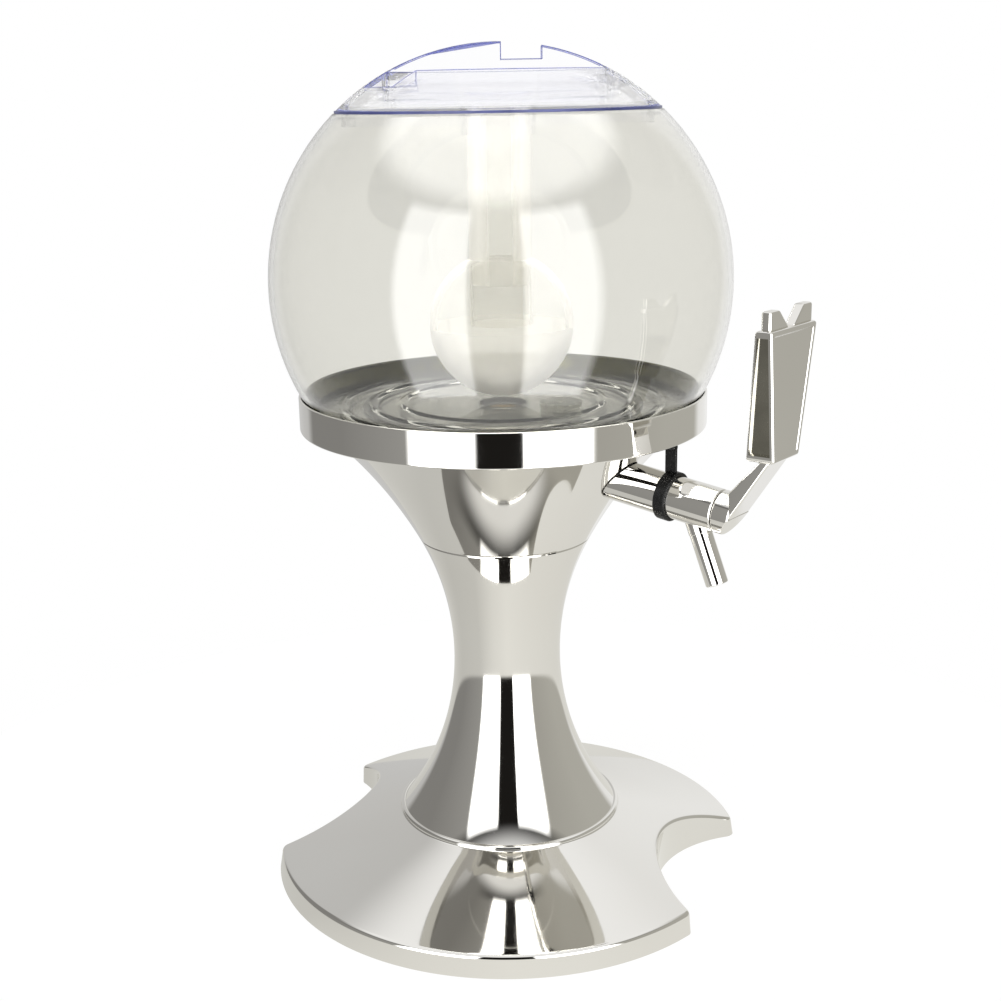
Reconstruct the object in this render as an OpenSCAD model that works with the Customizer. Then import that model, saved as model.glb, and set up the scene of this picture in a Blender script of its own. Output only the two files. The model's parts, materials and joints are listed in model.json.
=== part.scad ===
// Draft beer tower: a clear globe on a plated pedestal, with a lever tap below the
// collar and an ice core that hangs from the lid.
// Millimetres, +Z up, origin on the floor under the axis, tap towards -Y.

/* [Base] */
// Radius of the base at the floor
base_r = 115.3; // [108:0.1:125]
// Inward lean of the rim between floor and edge
base_draft = 1.4; // [0.4:0.1:3]
// Height of the edge between the rim and the conical top
base_edge_h = 10.8; // [9:0.1:15]
// Slope of the conical top, degrees
base_slope = 17.2; // [14:0.1:21]
// Radius that rounds the edge
base_edge_round = 2; // [0.5:0.1:3]
// Skin of the base cover
base_wall = 2.5; // [2:0.1:3.5]
// Gap between the rim and the floor
rim_gap = 0.7; // [0.3:0.1:1.2]
// Radius of each round bite in the base
scallop_r = 56; // [45:1:65]
// Distance from the axis to the deepest point of a bite
scallop_reach = 77.5; // [76:0.5:90]
// Turn of the base about the axis, against the tap
base_turn = 18; // [-90:1:90]
// Height of the lip ring above the column's seat
lip_h = 2; // [1:0.1:4]
// Width of the lip ring
lip_w = 3; // [2:0.1:5]
// Thickness of the web that carries the column
web_t = 3; // [2:0.1:4]

/* [Base inside] */
// Thickness of the bottom plate
plate_t = 2; // [1.5:0.1:3]
// Radius of a rubber foot
foot_pad_r = 8; // [5:0.5:10]
// Height of a rubber foot
foot_pad_h = 1.6; // [1.2:0.1:2.2]
// Distance from the bottom plate's edge in to a foot
foot_pad_in = 5.2; // [3:0.1:9]
// Inner radius of the ballast ring
ballast_in_r = 30; // [24:0.5:40]
// Outer radius of the ballast ring
ballast_out_r = 70; // [60:0.5:72]
// Thickness of the ballast ring
ballast_t = 8; // [4:0.5:10]
// Radius of a plate screw's shank
plate_screw_r = 1.75; // [1.25:0.05:2.25]
// Distance from the bottom plate's edge in to the plate screws
plate_screw_in = 23.2; // [19:0.1:29]

/* [Column] */
// Outer radius of the column's foot
foot_r = 51; // [44:0.1:56]
// Outer radius at the waist
neck_r = 25.7; // [22:0.1:30]
// Height of the waist above the column's seat
neck_h = 79; // [74:0.5:85]
// Profile radius of the lower column
column_arc = 126; // [120:0.5:140]
// Height of the parting line above the waist
parting_h = 60; // [50:0.5:66]
// Step from the collar's outer face in to the funnel's top
funnel_step = 11.26; // [9:0.01:13]
// Height of the funnel above the parting line
funnel_h = 54.4; // [50:0.2:58]
// Wall of column and funnel
shell_wall = 2.5; // [2:0.1:3]
// Radius of the shadow groove at the parting line
groove_r = 0.6; // [0.3:0.1:1]
// Overlap of the locating spigots
spigot_h = 5; // [3:0.5:8]
// Wall of the locating spigots
spigot_t = 2.2; // [1.5:0.1:3]

/* [Tie rod] */
// Radius of the tie rod
rod_r = 4; // [3:0.1:5]
// Height of the rod nut
rod_nut_h = 6.5; // [4:0.5:8]
// Width of the rod nut across its corners
rod_nut_w = 15; // [13:0.5:18]
// Radius of the rod washer
rod_washer_r = 12; // [10:0.5:16]
// Thickness of the rod washer
rod_washer_t = 2; // [1:0.1:3]
// Radius of the threaded insert
insert_r = 6.5; // [6:0.1:8]
// Length of the threaded insert
insert_h = 12; // [8:0.5:14]

/* [Collar] */
// Reach of the collar beyond the edge of the globe's flat bottom
collar_w = 6.2; // [5.8:0.1:12]
// Height of the collar
collar_h = 15.6; // [13:0.1:16]
// Thickness of the collar's flange
flange_t = 2; // [1.5:0.1:3]
// Radius that rounds the collar's outer edges
collar_round = 0.9; // [0.3:0.1:1.1]
// Thickness of the dish under the globe
dish_t = 2; // [1.5:0.1:3]
// Height of the dish's foot ring
dish_foot_h = 2.6; // [1.5:0.1:4]
// Width of the dish's foot ring
dish_foot_w = 4; // [3:0.1:5]
// Thickness of the globe gasket
gasket_t = 1; // [0.5:0.1:2]
// Middle radius of the globe gasket
gasket_r = 62; // [52:0.5:72]
// Width of the globe gasket
gasket_w = 6; // [3:0.5:8]

/* [Globe] */
// Outer radius of the globe
globe_r = 105; // [96:0.1:114]
// Wall of the globe
globe_wall = 2.2; // [1.6:0.1:2.6]
// Distance from the globe's widest radius in to the edge of its flat bottom
flat_in = 17; // [16:0.1:18]
// Thickness of the flat bottom
globe_floor_t = 2.5; // [2:0.1:3.5]
// Distance from the globe's widest radius in to the edge of its mouth
mouth_in = 32.2; // [29:0.1:35]
// Radius of the boss under the globe
boss_r = 11; // [10:0.1:13]
// Length of the boss under the globe
boss_h = 16; // [15:0.5:18]
// Bead radius of the ripples in the floor
ripple_bead = 1.4; // [0.8:0.1:1.8]
// Distance from the drain's flange out to the inner ripple
ripple_gap = 3.5; // [2.5:0.1:6]
// Step between ripples
ripple_step = 14; // [10:0.5:16]

/* [Drain] */
// Distance from the funnel's surface at the tap in to the drain
drain_in = 31.86; // [31:0.01:34]
// Radius of the drain's threaded stem
drain_stem_r = 6; // [5.5:0.1:6.5]
// Radius of the drain's flange
drain_flange_r = 9.5; // [8:0.1:11]
// Thickness of the drain's flange
drain_flange_t = 2; // [1.5:0.1:3]
// Radius of the drain's tail and of the tap's tail
tail_r = 4; // [3.6:0.1:4.4]
// Radius of the bore that the beer runs through
flow_r = 2.8; // [2:0.1:3]
// Radius of the elbow block
elbow_r = 8; // [7:0.1:9]
// Height of the drain nut
drain_nut_h = 5; // [4:0.5:6]
// Width of the drain nut across its corners
drain_nut_w = 19; // [17:0.5:21]

/* [Tap] */
// Height of the tap axis above the parting line, where it meets the funnel
tap_h = 35.3; // [32:0.1:37]
// Downward slope of the tap, degrees
tap_slope = 7; // [0:0.5:10]
// Radius of the tap barrel
barrel_r = 9.5; // [8.8:0.1:10.5]
// Reach of the barrel beyond the collar's outer face
barrel_out = 21.48; // [20:0.01:26]
// Radius of the threaded shank
shank_r = 6.5; // [5.5:0.1:7]
// Distance from the funnel to the flat inside it
seat_depth = 15; // [13.5:0.5:17]
// Radius of the inner seat
seat_r = 12; // [10.8:0.1:13]
// Thickness of the tap washer
tap_washer_t = 1.5; // [1:0.1:2]
// Height of the tap nut
tap_nut_h = 5; // [4:0.5:5.5]
// Width of the tap nut across its corners
tap_nut_w = 20; // [18:0.5:22]
// Thickness of the gasket between barrel and funnel
tap_gasket_t = 1; // [0.5:0.1:2]
// Radius of the valve plug's bore
plug_r = 6.5; // [5.8:0.1:7]
// Length of the valve plug's bore
plug_l = 26; // [25:0.5:27]
// Radius of the spout
spout_r = 5; // [4.2:0.1:5.4]
// Wall of the spout
spout_wall = 1.4; // [1:0.1:2]
// Distance from the barrel's outer end in to the spout
spout_in = 14.4; // [13.4:0.1:15.4]
// Length of the spout below the barrel
spout_l = 28; // [20:0.5:40]
// Outward lean of the spout, degrees
spout_lean = 21.6; // [0:0.1:25]

/* [Handle] */
// Length of the lever's hub along the tap axis
hub_l = 8.6; // [7:0.1:11]
// Width of the lever's arm
arm_w = 18; // [15:0.1:18.6]
// Thickness of the arm where it leaves the hub
arm_low_t = 7; // [5:0.1:8]
// Thickness of the arm under the paddle
arm_top_t = 4; // [3.5:0.1:5]
// Length of the arm from the tap axis to the paddle
arm_l = 33; // [30:0.5:42]
// Rise of the arm's outer face, degrees from level
arm_rise = 56; // [50:0.5:62]
// Length of the tenon in the paddle
tenon_l = 9; // [6:0.5:12]
// Height of the paddle without its crest
paddle_h = 55.5; // [45:0.5:70]
// Width of the paddle at the bottom
paddle_low_w = 22; // [19:0.1:25]
// Width of the paddle at the top
paddle_top_w = 39.4; // [30:0.1:44]
// Thickness of the paddle at the bottom
paddle_low_t = 12.9; // [11:0.1:16]
// Thickness of the paddle at the top
paddle_top_t = 7.6; // [7:0.1:11]
// Outward lean of the paddle's outer face over its height
paddle_lean = 1.9; // [0:0.1:6]
// Overhang of the paddle's outer face beyond the arm
paddle_over = 3; // [2:0.1:4.5]
// Depth of the panels in the paddle's sides
panel_depth = 1.6; // [0.8:0.1:2.5]
// Frame around the panels
panel_frame = 1.7; // [1.2:0.1:2]
// Bevel around the paddle's outer face
paddle_bevel = 1.8; // [0.8:0.1:2.5]
// Height of the two bumps on the paddle's top
crest_h = 8.6; // [5:0.1:12]
// Thickness of the two bumps
crest_t = 4.6; // [3:0.1:5]
// Width of the notch between the bumps, at the bottom
crest_notch_w = 3; // [1:0.1:6]
// Radius that rounds the bumps
crest_round = 2; // [1:0.1:3]

/* [Strap] */
// Width of the strap
strap_w = 5.5; // [4:0.1:7]
// Thickness of the strap
strap_t = 1.5; // [1:0.1:2]
// Distance from the collar's outer face in to the strap
strap_in = 2.94; // [2.6:0.01:3.2]
// Radius of the strap's push-in stud
stud_r = 1.5; // [1:0.1:2]
// Length of the strap's push-in stud
stud_l = 5; // [3:0.5:7]

/* [Lid] */
// Wall of the lid
lid_wall = 2.2; // [1.6:0.1:2.8]
// Thickness of the lid's rim
lid_rim_t = 3; // [2.4:0.1:5]
// Thickness of the lid seal
lid_seal_t = 1; // [0.6:0.1:2]
// Length of the skirt below the rim
skirt_h = 7; // [4:0.5:12]
// Distance from the edge of the globe's mouth in to the finger well
well_in = 24.1; // [21:0.1:28]
// Width of the grip across the well
grip_w = 16; // [12:0.5:22]
// Wall of the grip's sides
grip_wall = 2.2; // [1.6:0.1:3]
// Width of the notch in the grip
notch_w = 18; // [10:0.5:22]
// Depth of the notch in the grip
notch_depth = 8; // [4:0.5:10]
// Middle of the notch along the grip
notch_at = 10.5; // [-12:0.5:12]
// Depth of the low place in the well's rim
dip_depth = 6.5; // [4:0.5:8]
// Width of the low place in the well's rim
dip_w = 30; // [20:0.5:36]
// Turn of the lid about the axis
lid_turn = -52.5; // [-90:0.5:90]

/* [Ice core] */
// Outer radius of the ice tube
tube_r = 14.25; // [12:0.05:16]
// Wall of the ice tube and its ball
ice_wall = 2; // [1.5:0.1:2.5]
// Outer radius of the ball
ball_r = 33; // [28:0.5:34]
// Gap between the ball and the globe's floor
ball_gap = 2.6; // [2:0.1:6]
// Depth of the tube's socket in the lid
socket_h = 12; // [8:0.5:16]
// Overlap of the tube and the ball's neck
neck_overlap = 9; // [6:0.5:12]
// Thickness of the ring that seals the tube
ice_seal_t = 1.2; // [0.8:0.1:2]

/* [Fits] */
// Clearance between pieces that are assembled and stay
slip_fit = 0.2; // [0.1:0.05:0.3]
// Radial clearance of the turning plug
run_fit = 0.05; // [0.02:0.01:0.08]
// Gap between pieces that move past each other
move_gap = 0.35; // [0.3:0.05:0.5]
// Radial clearance of pressed and threaded pieces
press_gap = 0.02; // [0.01:0.01:0.05]

/* [Hidden] */
$fn = 128;
// Reach of cutting bodies past the faces that they cut
cut = 1;
// Step that keeps a seal, a washer or a bore clear of the edge beside it
edge_step = 0.5;

// Base cover
base_edge_r = base_r - base_draft;
slope_rise = tan(base_slope);
function cone_z(r) = base_edge_h + (base_edge_r - r) * slope_rise;
lip_in_r = foot_r + slip_fit;
lip_out_r = lip_in_r + lip_w;
seat_z = cone_z(lip_out_r);
web_z = seat_z - web_t;
skin_drop = base_wall / cos(base_slope);
plate_z = foot_pad_h;
plate_top_z = plate_z + plate_t;
ballast_top_z = plate_top_z + ballast_t;
scallop_centre = scallop_reach + scallop_r;
plate_r = base_edge_r - base_wall - slip_fit;
foot_pad_reach = plate_r - foot_pad_in - foot_pad_r;
plate_screw_reach = plate_r - plate_screw_in;
post_wall = 2.5;
post_r = plate_screw_r + post_wall;
screw_l = 8;
screw_head_step = 1.4;
screw_head_r = plate_screw_r + screw_head_step;
screw_head_h = foot_pad_h - rim_gap;
plate_screw_angle = 30;
foot_pad_angle = 46;
ballast_post_reach = (ballast_in_r + ballast_out_r) / 2;

// Column and funnel: the funnel's arc goes on from the column's and ends under the collar
globe_flat_r = globe_r - flat_in;
collar_r = globe_flat_r + collar_w;
neck_z = seat_z + neck_h;
parting_z = neck_z + parting_h;
funnel_top_z = parting_z + funnel_h;
column_centre = [neck_r + column_arc, neck_z];
function column_r(z) = column_centre[0] - sqrt(pow(column_arc, 2) - pow(z - neck_z, 2));
parting_angle = asin(parting_h / column_arc);
funnel_top_r = collar_r - funnel_step;
funnel_span = [funnel_top_r - column_r(parting_z), funnel_h];
funnel_arc = funnel_span * funnel_span
             / (2 * (funnel_span[0] * cos(parting_angle) - funnel_span[1] * sin(parting_angle)));
funnel_centre = [column_r(parting_z) + funnel_arc * cos(parting_angle),
                 parting_z - funnel_arc * sin(parting_angle)];
function funnel_r(z, off = 0) =
  funnel_centre[0] - sqrt(pow(funnel_arc - off, 2) - pow(z - funnel_centre[1], 2));
spigot_r = funnel_r(parting_z, -shell_wall) - slip_fit;
spigot_root = 8;
locate_r = funnel_r(funnel_top_z - spigot_h, -shell_wall) - slip_fit;

// Collar, dish and globe
cup_gap = 0.6;
cup_r = globe_flat_r + cup_gap;
dish_r = cup_r - slip_fit;
dish_z = funnel_top_z + flange_t + dish_foot_h;
dish_top_z = dish_z + dish_t;
globe_floor_z = dish_top_z + gasket_t;
globe_in_z = globe_floor_z + globe_floor_t;
globe_z = globe_floor_z + sqrt(pow(globe_r, 2) - pow(globe_flat_r, 2));
globe_in_r = globe_r - globe_wall;
mouth_r = globe_r - mouth_in;
mouth_z = globe_z + sqrt(pow(globe_r, 2) - pow(mouth_r, 2));
mouth_in_r = sqrt(pow(globe_in_r, 2) - pow(mouth_z - globe_z, 2));
boss_z = globe_floor_z - boss_h;
ripple_rise = 0.6;
ripple_sink = ripple_bead - ripple_rise;
ripple_count = 3;

// Tie rod
rod_nut_z = web_z - rod_washer_t - rod_nut_h;
rod_low_z = rod_nut_z - rod_r;
rod_top_z = boss_z + insert_h - cut;

// Tap axis: distance s is measured outward from the funnel's surface
tap_z = parting_z + tap_h;
root_r = funnel_r(tap_z);
drain_reach = root_r - drain_in;
ripple_in_r = drain_reach + drain_flange_r + ripple_gap;
barrel_l = (collar_r + barrel_out - root_r) / cos(tap_slope);
spout_at = barrel_l - spout_in;
strap_at = (collar_r - strap_in - root_r) / cos(tap_slope);
function axis_r(s) = root_r + s * cos(tap_slope);
function axis_z(s) = tap_z - s * sin(tap_slope);
plug_in_at = barrel_l - plug_l;
plug_turn_r = plug_r - run_fit;
plug_gap = 1;
snap_bead = 0.45;
snap_in = 3;
snap_at = barrel_l - snap_in;
ring_bead = 0.75;
ring_r = plug_turn_r - ring_bead;
ring_step = 8;
ring_places = [spout_at - ring_step, spout_at + ring_step];
spout_root_r = spout_r + slip_fit;
spout_root_out = 4.5;
spout_root_l = barrel_r + spout_root_out;
shank_out = 0.8;
shank_end = -(seat_depth + tap_washer_t + tap_nut_h + shank_out);
elbow_at = -drain_in / cos(tap_slope);
tail_end = elbow_at + tail_r + cut;
elbow_axis_z = axis_z(elbow_at);
elbow_below = 6.4;
elbow_above = 9.5;
elbow_low_z = elbow_axis_z - elbow_below;
elbow_top_z = elbow_axis_z + elbow_above;
tail_low_z = elbow_axis_z + flow_r;
drain_gasket_t = 1;
drain_top_z = globe_in_z + drain_gasket_t + drain_flange_t;

// Handle: points in the tap's plane are (y, z)
hub_at = barrel_l + move_gap;
hub_end = hub_at + hub_l;
arm_foot = [-axis_r(hub_end), axis_z(hub_end)];
arm_along = [-cos(arm_rise), sin(arm_rise)];
arm_inward = [sin(arm_rise), cos(arm_rise)];
arm_head = arm_foot + arm_l * arm_along;
arm_shoulder = arm_foot + barrel_r * arm_along + arm_low_t * arm_inward;
arm_head_in = arm_head + [arm_top_t / sin(arm_rise), 0];
paddle_z = arm_head[1];
paddle_low_y = arm_head[0] - paddle_over + paddle_low_t;
paddle_top_y = paddle_low_y - paddle_low_t + paddle_top_t - paddle_lean;
paddle_edge = 1.1;
panel_slice = 0.1;
tenon_w = 12;
tenon_t = arm_top_t - cut;
tang_w = 6;
tang_l = 5;

// Lid
seal_z = mouth_z;
lid_z = seal_z + lid_seal_t;
skirt_r = mouth_in_r - move_gap;
skirt_t = 2.4;
well_z = lid_z + lid_rim_t;
lid_under_z = well_z - lid_wall;
well_r = mouth_r - well_in;
well_edge_z = globe_z + sqrt(pow(globe_r, 2) - pow(well_r, 2));
dip_z = well_edge_z - dip_depth;
dip_angle = 208;
lid_top_z = globe_z + globe_r;

// Ice core
ice_seal_z = lid_under_z - ice_seal_t;
socket_r = tube_r + slip_fit;
socket_t = 2.2;
hollow_in_x = socket_r + socket_t + lid_wall;
hollow_out_x = well_r - 2 * lid_wall;
hollow_top_z = well_edge_z - lid_wall;
tube_in_r = tube_r - ice_wall;
ball_z = globe_in_z + ball_gap + ball_r;
neck_z_low = ball_z + sqrt(pow(ball_r - ice_wall, 2) - pow(socket_r, 2)) - neck_overlap;

// Frames

module at_z(z) translate([0, 0, z]) children();

module at_base() rotate([0, 0, base_turn]) children();

module at_lid() rotate([0, 0, lid_turn]) children();

// Along the tap axis at distance s, with local +Z outward and local +Y up
module at_tap(s = 0)
  translate([0, -root_r, tap_z]) rotate([90 + tap_slope, 0, 0]) at_z(s) children();

// From the tap axis down along the spout
module at_spout()
  translate([0, -axis_r(spout_at), axis_z(spout_at)])
    rotate([180 - spout_lean, 0, 0]) children();

module at_drain() translate([0, -drain_reach, 0]) children();

// Side profile drawn in the tap's plane, as (y, z) points, and given width along X
module tap_plane(width)
  rotate([90, 0, 90]) linear_extrude(height = width, center = true) children();

// Shared shapes

module ring(r_in, r_out, h)
  difference() {
    cylinder(r = r_out, h = h);
    at_z(-cut) cylinder(r = r_in, h = h + 2 * cut);
  }

module bead_ring(r, bead) rotate_extrude() translate([r, 0]) circle(r = bead, $fn = 32);

module hex_nut(width, bore, h)
  difference() {
    cylinder(d = width, h = h, $fn = 6);
    at_z(-cut) cylinder(r = bore, h = h + 2 * cut);
  }

// Both bites, widened by off
module bites(off, h)
  for (side = [-90, 90])
    rotate([0, 0, side]) translate([scallop_centre, 0, -cut])
      cylinder(r = scallop_r + off, h = h + 2 * cut);

module around_base(angle, reach)
  for (a = [-angle, angle, 180 - angle, 180 + angle])
    rotate([0, 0, a]) translate([reach, 0, 0]) children();

// Round edge of the base: centre of the arc that touches the rim and the cone
edge_centre = [base_edge_r - base_edge_round,
               base_edge_h + base_edge_round * slope_rise
               - base_edge_round * sqrt(1 + pow(slope_rise, 2))];
edge_touch = edge_centre + base_edge_round * [sin(base_slope), cos(base_slope)];

module base_outline() {
  polygon([[0, rim_gap], [base_r, rim_gap], [base_edge_r, edge_centre[1]], edge_centre,
           edge_touch, [lip_out_r, seat_z], [0, seat_z]]);
  translate(edge_centre) circle(r = base_edge_round, $fn = 64);
  translate([lip_in_r, web_z]) square([lip_w, web_t + lip_h - lip_w / 2]);
  translate([lip_in_r + lip_w / 2, seat_z + lip_h - lip_w / 2]) circle(d = lip_w, $fn = 64);
}

module base_hollow_outline()
  polygon([[0, rim_gap - cut], [plate_r + slip_fit, rim_gap - cut],
           [plate_r + slip_fit, cone_z(plate_r + slip_fit) - skin_drop],
           [lip_in_r, cone_z(lip_in_r) - skin_drop], [lip_in_r, web_z], [0, web_z]]);

// Solid of revolution below the column's surface, moved outward by off
module column_solid(off)
  rotate_extrude()
    difference() {
      translate([0, seat_z]) square([foot_r + off, parting_z - seat_z]);
      translate(column_centre) circle(r = column_arc - off, $fn = 360);
    }

module funnel_solid(off)
  rotate_extrude()
    difference() {
      translate([0, parting_z]) square([collar_r, funnel_h]);
      translate(funnel_centre) circle(r = funnel_arc - off, $fn = 360);
    }

module parting_groove()
  at_z(parting_z) bead_ring(column_r(parting_z), groove_r);

// Band with rounded outer edges, as a half section
module round_band(r_in, r_out, z, h, edge) {
  translate([r_in, z]) square([r_out - r_in - edge, h]);
  translate([r_in, z + edge]) square([r_out - r_in, h - 2 * edge]);
  for (level = [z + edge, z + h - edge])
    translate([r_out - edge, level]) circle(r = edge, $fn = 48);
}

module globe_ball(r) at_z(globe_z) sphere(r = r, $fn = 180);

// Base

module base_cover() color("silver") at_base() {
  difference() {
    difference() {
      rotate_extrude() base_outline();
      bites(0, seat_z);
    }
    difference() {
      rotate_extrude() base_hollow_outline();
      bites(base_wall, seat_z);
    }
    at_z(web_z - cut) cylinder(r = rod_r + slip_fit, h = web_t + 2 * cut);
  }
  intersection() {
    rotate_extrude() base_outline();
    union() {
      around_base(plate_screw_angle, plate_screw_reach)
        at_z(plate_top_z)
          difference() {
            cylinder(r = post_r, h = seat_z);
            at_z(-cut) cylinder(r = plate_screw_r + press_gap, h = screw_l + cut);
          }
      around_base(plate_screw_angle, ballast_post_reach)
        at_z(ballast_top_z) cylinder(r = post_r, h = seat_z);
    }
  }
}

module base_plate() color("dimgray") at_base()
  difference() {
    at_z(plate_z) cylinder(r = plate_r, h = plate_t);
    bites(base_wall + slip_fit, seat_z);
    around_base(plate_screw_angle, plate_screw_reach)
      cylinder(r = plate_screw_r + slip_fit, h = seat_z);
  }

module ballast_ring() color("slategray")
  at_z(plate_top_z) ring(ballast_in_r, ballast_out_r, ballast_t);

module base_feet() color("black") at_base() {
  foot_pad();
  around_base(foot_pad_angle, foot_pad_reach) foot_pad();
}

module foot_pad() cylinder(r = foot_pad_r, h = foot_pad_h);

module base_screws() color("gainsboro") at_base()
  around_base(plate_screw_angle, plate_screw_reach) {
    at_z(plate_z - screw_head_h) cylinder(r = screw_head_r, h = screw_head_h);
    at_z(plate_z) cylinder(r = plate_screw_r, h = plate_t + screw_l - cut);
  }

// Column and tie rod

module lower_column() color("silver") {
  difference() {
    column_solid(0);
    column_solid(-shell_wall);
    parting_groove();
  }
  at_z(parting_z - spigot_root)
    ring(spigot_r - spigot_t, spigot_r, spigot_root + spigot_h);
}

module funnel() color("silver")
  difference() {
    union() {
      difference() {
        funnel_solid(0);
        funnel_solid(-shell_wall);
      }
      intersection() {
        funnel_solid(-shell_wall / 2);
        at_tap(-seat_depth) cylinder(r = seat_r, h = 2 * seat_depth);
      }
    }
    parting_groove();
    at_tap(-seat_depth - cut) cylinder(r = shank_r + slip_fit, h = 3 * seat_depth);
  }

module tie_rod() color("lightgray")
  at_z(rod_low_z) cylinder(r = rod_r, h = rod_top_z - rod_low_z);

module rod_washer() color("lightgray")
  at_z(web_z - rod_washer_t) ring(rod_r + slip_fit, rod_washer_r, rod_washer_t);

module rod_nut() color("gray")
  at_z(rod_nut_z) hex_nut(rod_nut_w, rod_r + press_gap, rod_nut_h);

module rod_insert() color("goldenrod")
  at_z(boss_z) ring(rod_r + press_gap, insert_r, insert_h);

// Collar, dish and globe

module collar_ring() color("silver")
  difference() {
    rotate_extrude() {
      round_band(cup_r, collar_r, funnel_top_z, collar_h, collar_round);
      translate([locate_r - spigot_t, funnel_top_z])
        square([cup_r - locate_r + spigot_t + cut, flange_t]);
      translate([locate_r - spigot_t, funnel_top_z - spigot_h + cut])
        square([spigot_t, spigot_h]);
    }
    globe_ball(globe_r + move_gap);
    translate([0, -axis_r(strap_at), funnel_top_z - cut])
      cylinder(r = stud_r + press_gap, h = stud_l + 2 * cut);
  }

module dish_tray() color("silver")
  difference() {
    union() {
      at_z(dish_z) cylinder(r = dish_r, h = dish_t);
      at_z(dish_z - dish_foot_h)
        ring(funnel_top_r - dish_foot_w / 2, funnel_top_r + dish_foot_w / 2, dish_foot_h + cut);
    }
    at_z(dish_z - cut) cylinder(r = boss_r + slip_fit, h = dish_t + 2 * cut);
    at_drain() at_z(dish_z - cut) cylinder(r = drain_stem_r + slip_fit, h = dish_t + 2 * cut);
  }

module globe_gasket() color("black")
  at_z(dish_top_z) ring(gasket_r - gasket_w / 2, gasket_r + gasket_w / 2, gasket_t);

module globe() color("white", 0.3)
  difference() {
    union() {
      difference() {
        intersection() {
          globe_ball(globe_r);
          at_z(globe_floor_z) cylinder(r = globe_r + cut, h = mouth_z - globe_floor_z);
        }
        intersection() {
          globe_ball(globe_in_r);
          at_z(globe_in_z) cylinder(r = globe_r + cut, h = 2 * globe_r);
        }
      }
      at_z(boss_z) cylinder(r = boss_r, h = boss_h + cut);
      for (i = [0 : ripple_count - 1])
        at_z(globe_in_z - ripple_sink) bead_ring(ripple_in_r + i * ripple_step, ripple_bead);
    }
    at_z(boss_z - cut) cylinder(r = insert_r + press_gap, h = insert_h + 2 * cut);
    at_drain() at_z(boss_z) cylinder(r = drain_stem_r + slip_fit, h = 2 * boss_h);
  }

// Drain

module drain_fitting() color("whitesmoke") at_drain()
  difference() {
    union() {
      at_z(globe_in_z + drain_gasket_t) cylinder(r = drain_flange_r, h = drain_flange_t);
      at_z(elbow_top_z + cut)
        cylinder(r = drain_stem_r, h = globe_in_z + drain_gasket_t - elbow_top_z);
      at_z(tail_low_z) cylinder(r = tail_r, h = elbow_top_z - tail_low_z + 2 * cut);
    }
    at_z(tail_low_z - cut) cylinder(r = flow_r, h = drain_top_z - tail_low_z + 2 * cut);
  }

module drain_gasket() color("black") at_drain()
  at_z(globe_in_z) ring(drain_stem_r + slip_fit, drain_flange_r - edge_step, drain_gasket_t);

module drain_nut() color("whitesmoke") at_drain()
  at_z(dish_z - drain_nut_h) hex_nut(drain_nut_w, drain_stem_r + press_gap, drain_nut_h);

module drain_elbow() color("whitesmoke")
  difference() {
    at_drain() at_z(elbow_low_z) cylinder(r = elbow_r, h = elbow_top_z - elbow_low_z);
    at_drain() at_z(tail_low_z) cylinder(r = tail_r + press_gap, h = elbow_top_z);
    at_drain() at_z(elbow_axis_z - flow_r - cut) cylinder(r = flow_r, h = 2 * elbow_r);
    at_tap(tail_end) cylinder(r = tail_r + press_gap, h = 2 * elbow_r);
    at_tap(elbow_at) cylinder(r = flow_r - slip_fit, h = elbow_r);
  }

// Tap

module tap_body() color("silver")
  difference() {
    union() {
      difference() {
        at_tap(-2 * barrel_r) cylinder(r = barrel_r, h = barrel_l + 2 * barrel_r);
        funnel_solid(tap_gasket_t);
      }
      at_tap(shank_end) cylinder(r = shank_r, h = barrel_r - shank_end);
      at_tap(tail_end) cylinder(r = tail_r, h = shank_end - tail_end + cut);
    }
    at_tap(tail_end - cut) cylinder(r = flow_r, h = plug_in_at - tail_end + 2 * cut);
    at_tap(plug_in_at) cylinder(r = plug_r, h = plug_l + cut);
    at_tap(snap_at) bead_ring(plug_r, snap_bead + run_fit);
    at_spout() cylinder(r = spout_root_r + press_gap, h = 2 * barrel_r);
  }

module tap_gasket() color("black")
  intersection() {
    difference() {
      funnel_solid(tap_gasket_t);
      funnel_solid(0);
    }
    at_tap(-2 * barrel_r) ring(shank_r + slip_fit, barrel_r, 4 * barrel_r);
  }

module tap_washer() color("lightgray")
  at_tap(-seat_depth - tap_washer_t) ring(shank_r + slip_fit, seat_r - edge_step, tap_washer_t);

module tap_nut() color("whitesmoke")
  at_tap(-seat_depth - tap_washer_t - tap_nut_h)
    hex_nut(tap_nut_w, shank_r + press_gap, tap_nut_h);

module spout() color("silver")
  difference() {
    at_spout() {
      cylinder(r = spout_r, h = barrel_r + spout_l);
      cylinder(r = spout_root_r, h = spout_root_l);
    }
    at_spout() cylinder(r = spout_r - spout_wall, h = barrel_r + spout_l + cut);
    at_tap(plug_in_at - cut) cylinder(r = plug_r, h = plug_l + 2 * cut);
  }

module tap_strap() color("black") {
  at_tap(strap_at - strap_w / 2) ring(barrel_r + press_gap, barrel_r + strap_t, strap_w);
  difference() {
    translate([-strap_t / 2, -axis_r(strap_at) - strap_w / 2, axis_z(strap_at) + barrel_r])
      cube([strap_t, strap_w, funnel_top_z - axis_z(strap_at) - barrel_r]);
    at_tap(0) cylinder(r = barrel_r + strap_t / 2, h = barrel_l);
  }
  translate([0, -axis_r(strap_at), funnel_top_z - strap_t]) {
    cylinder(r = strap_w / 2, h = strap_t);
    cylinder(r = stud_r, h = strap_t + stud_l);
  }
}

// Handle

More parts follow.
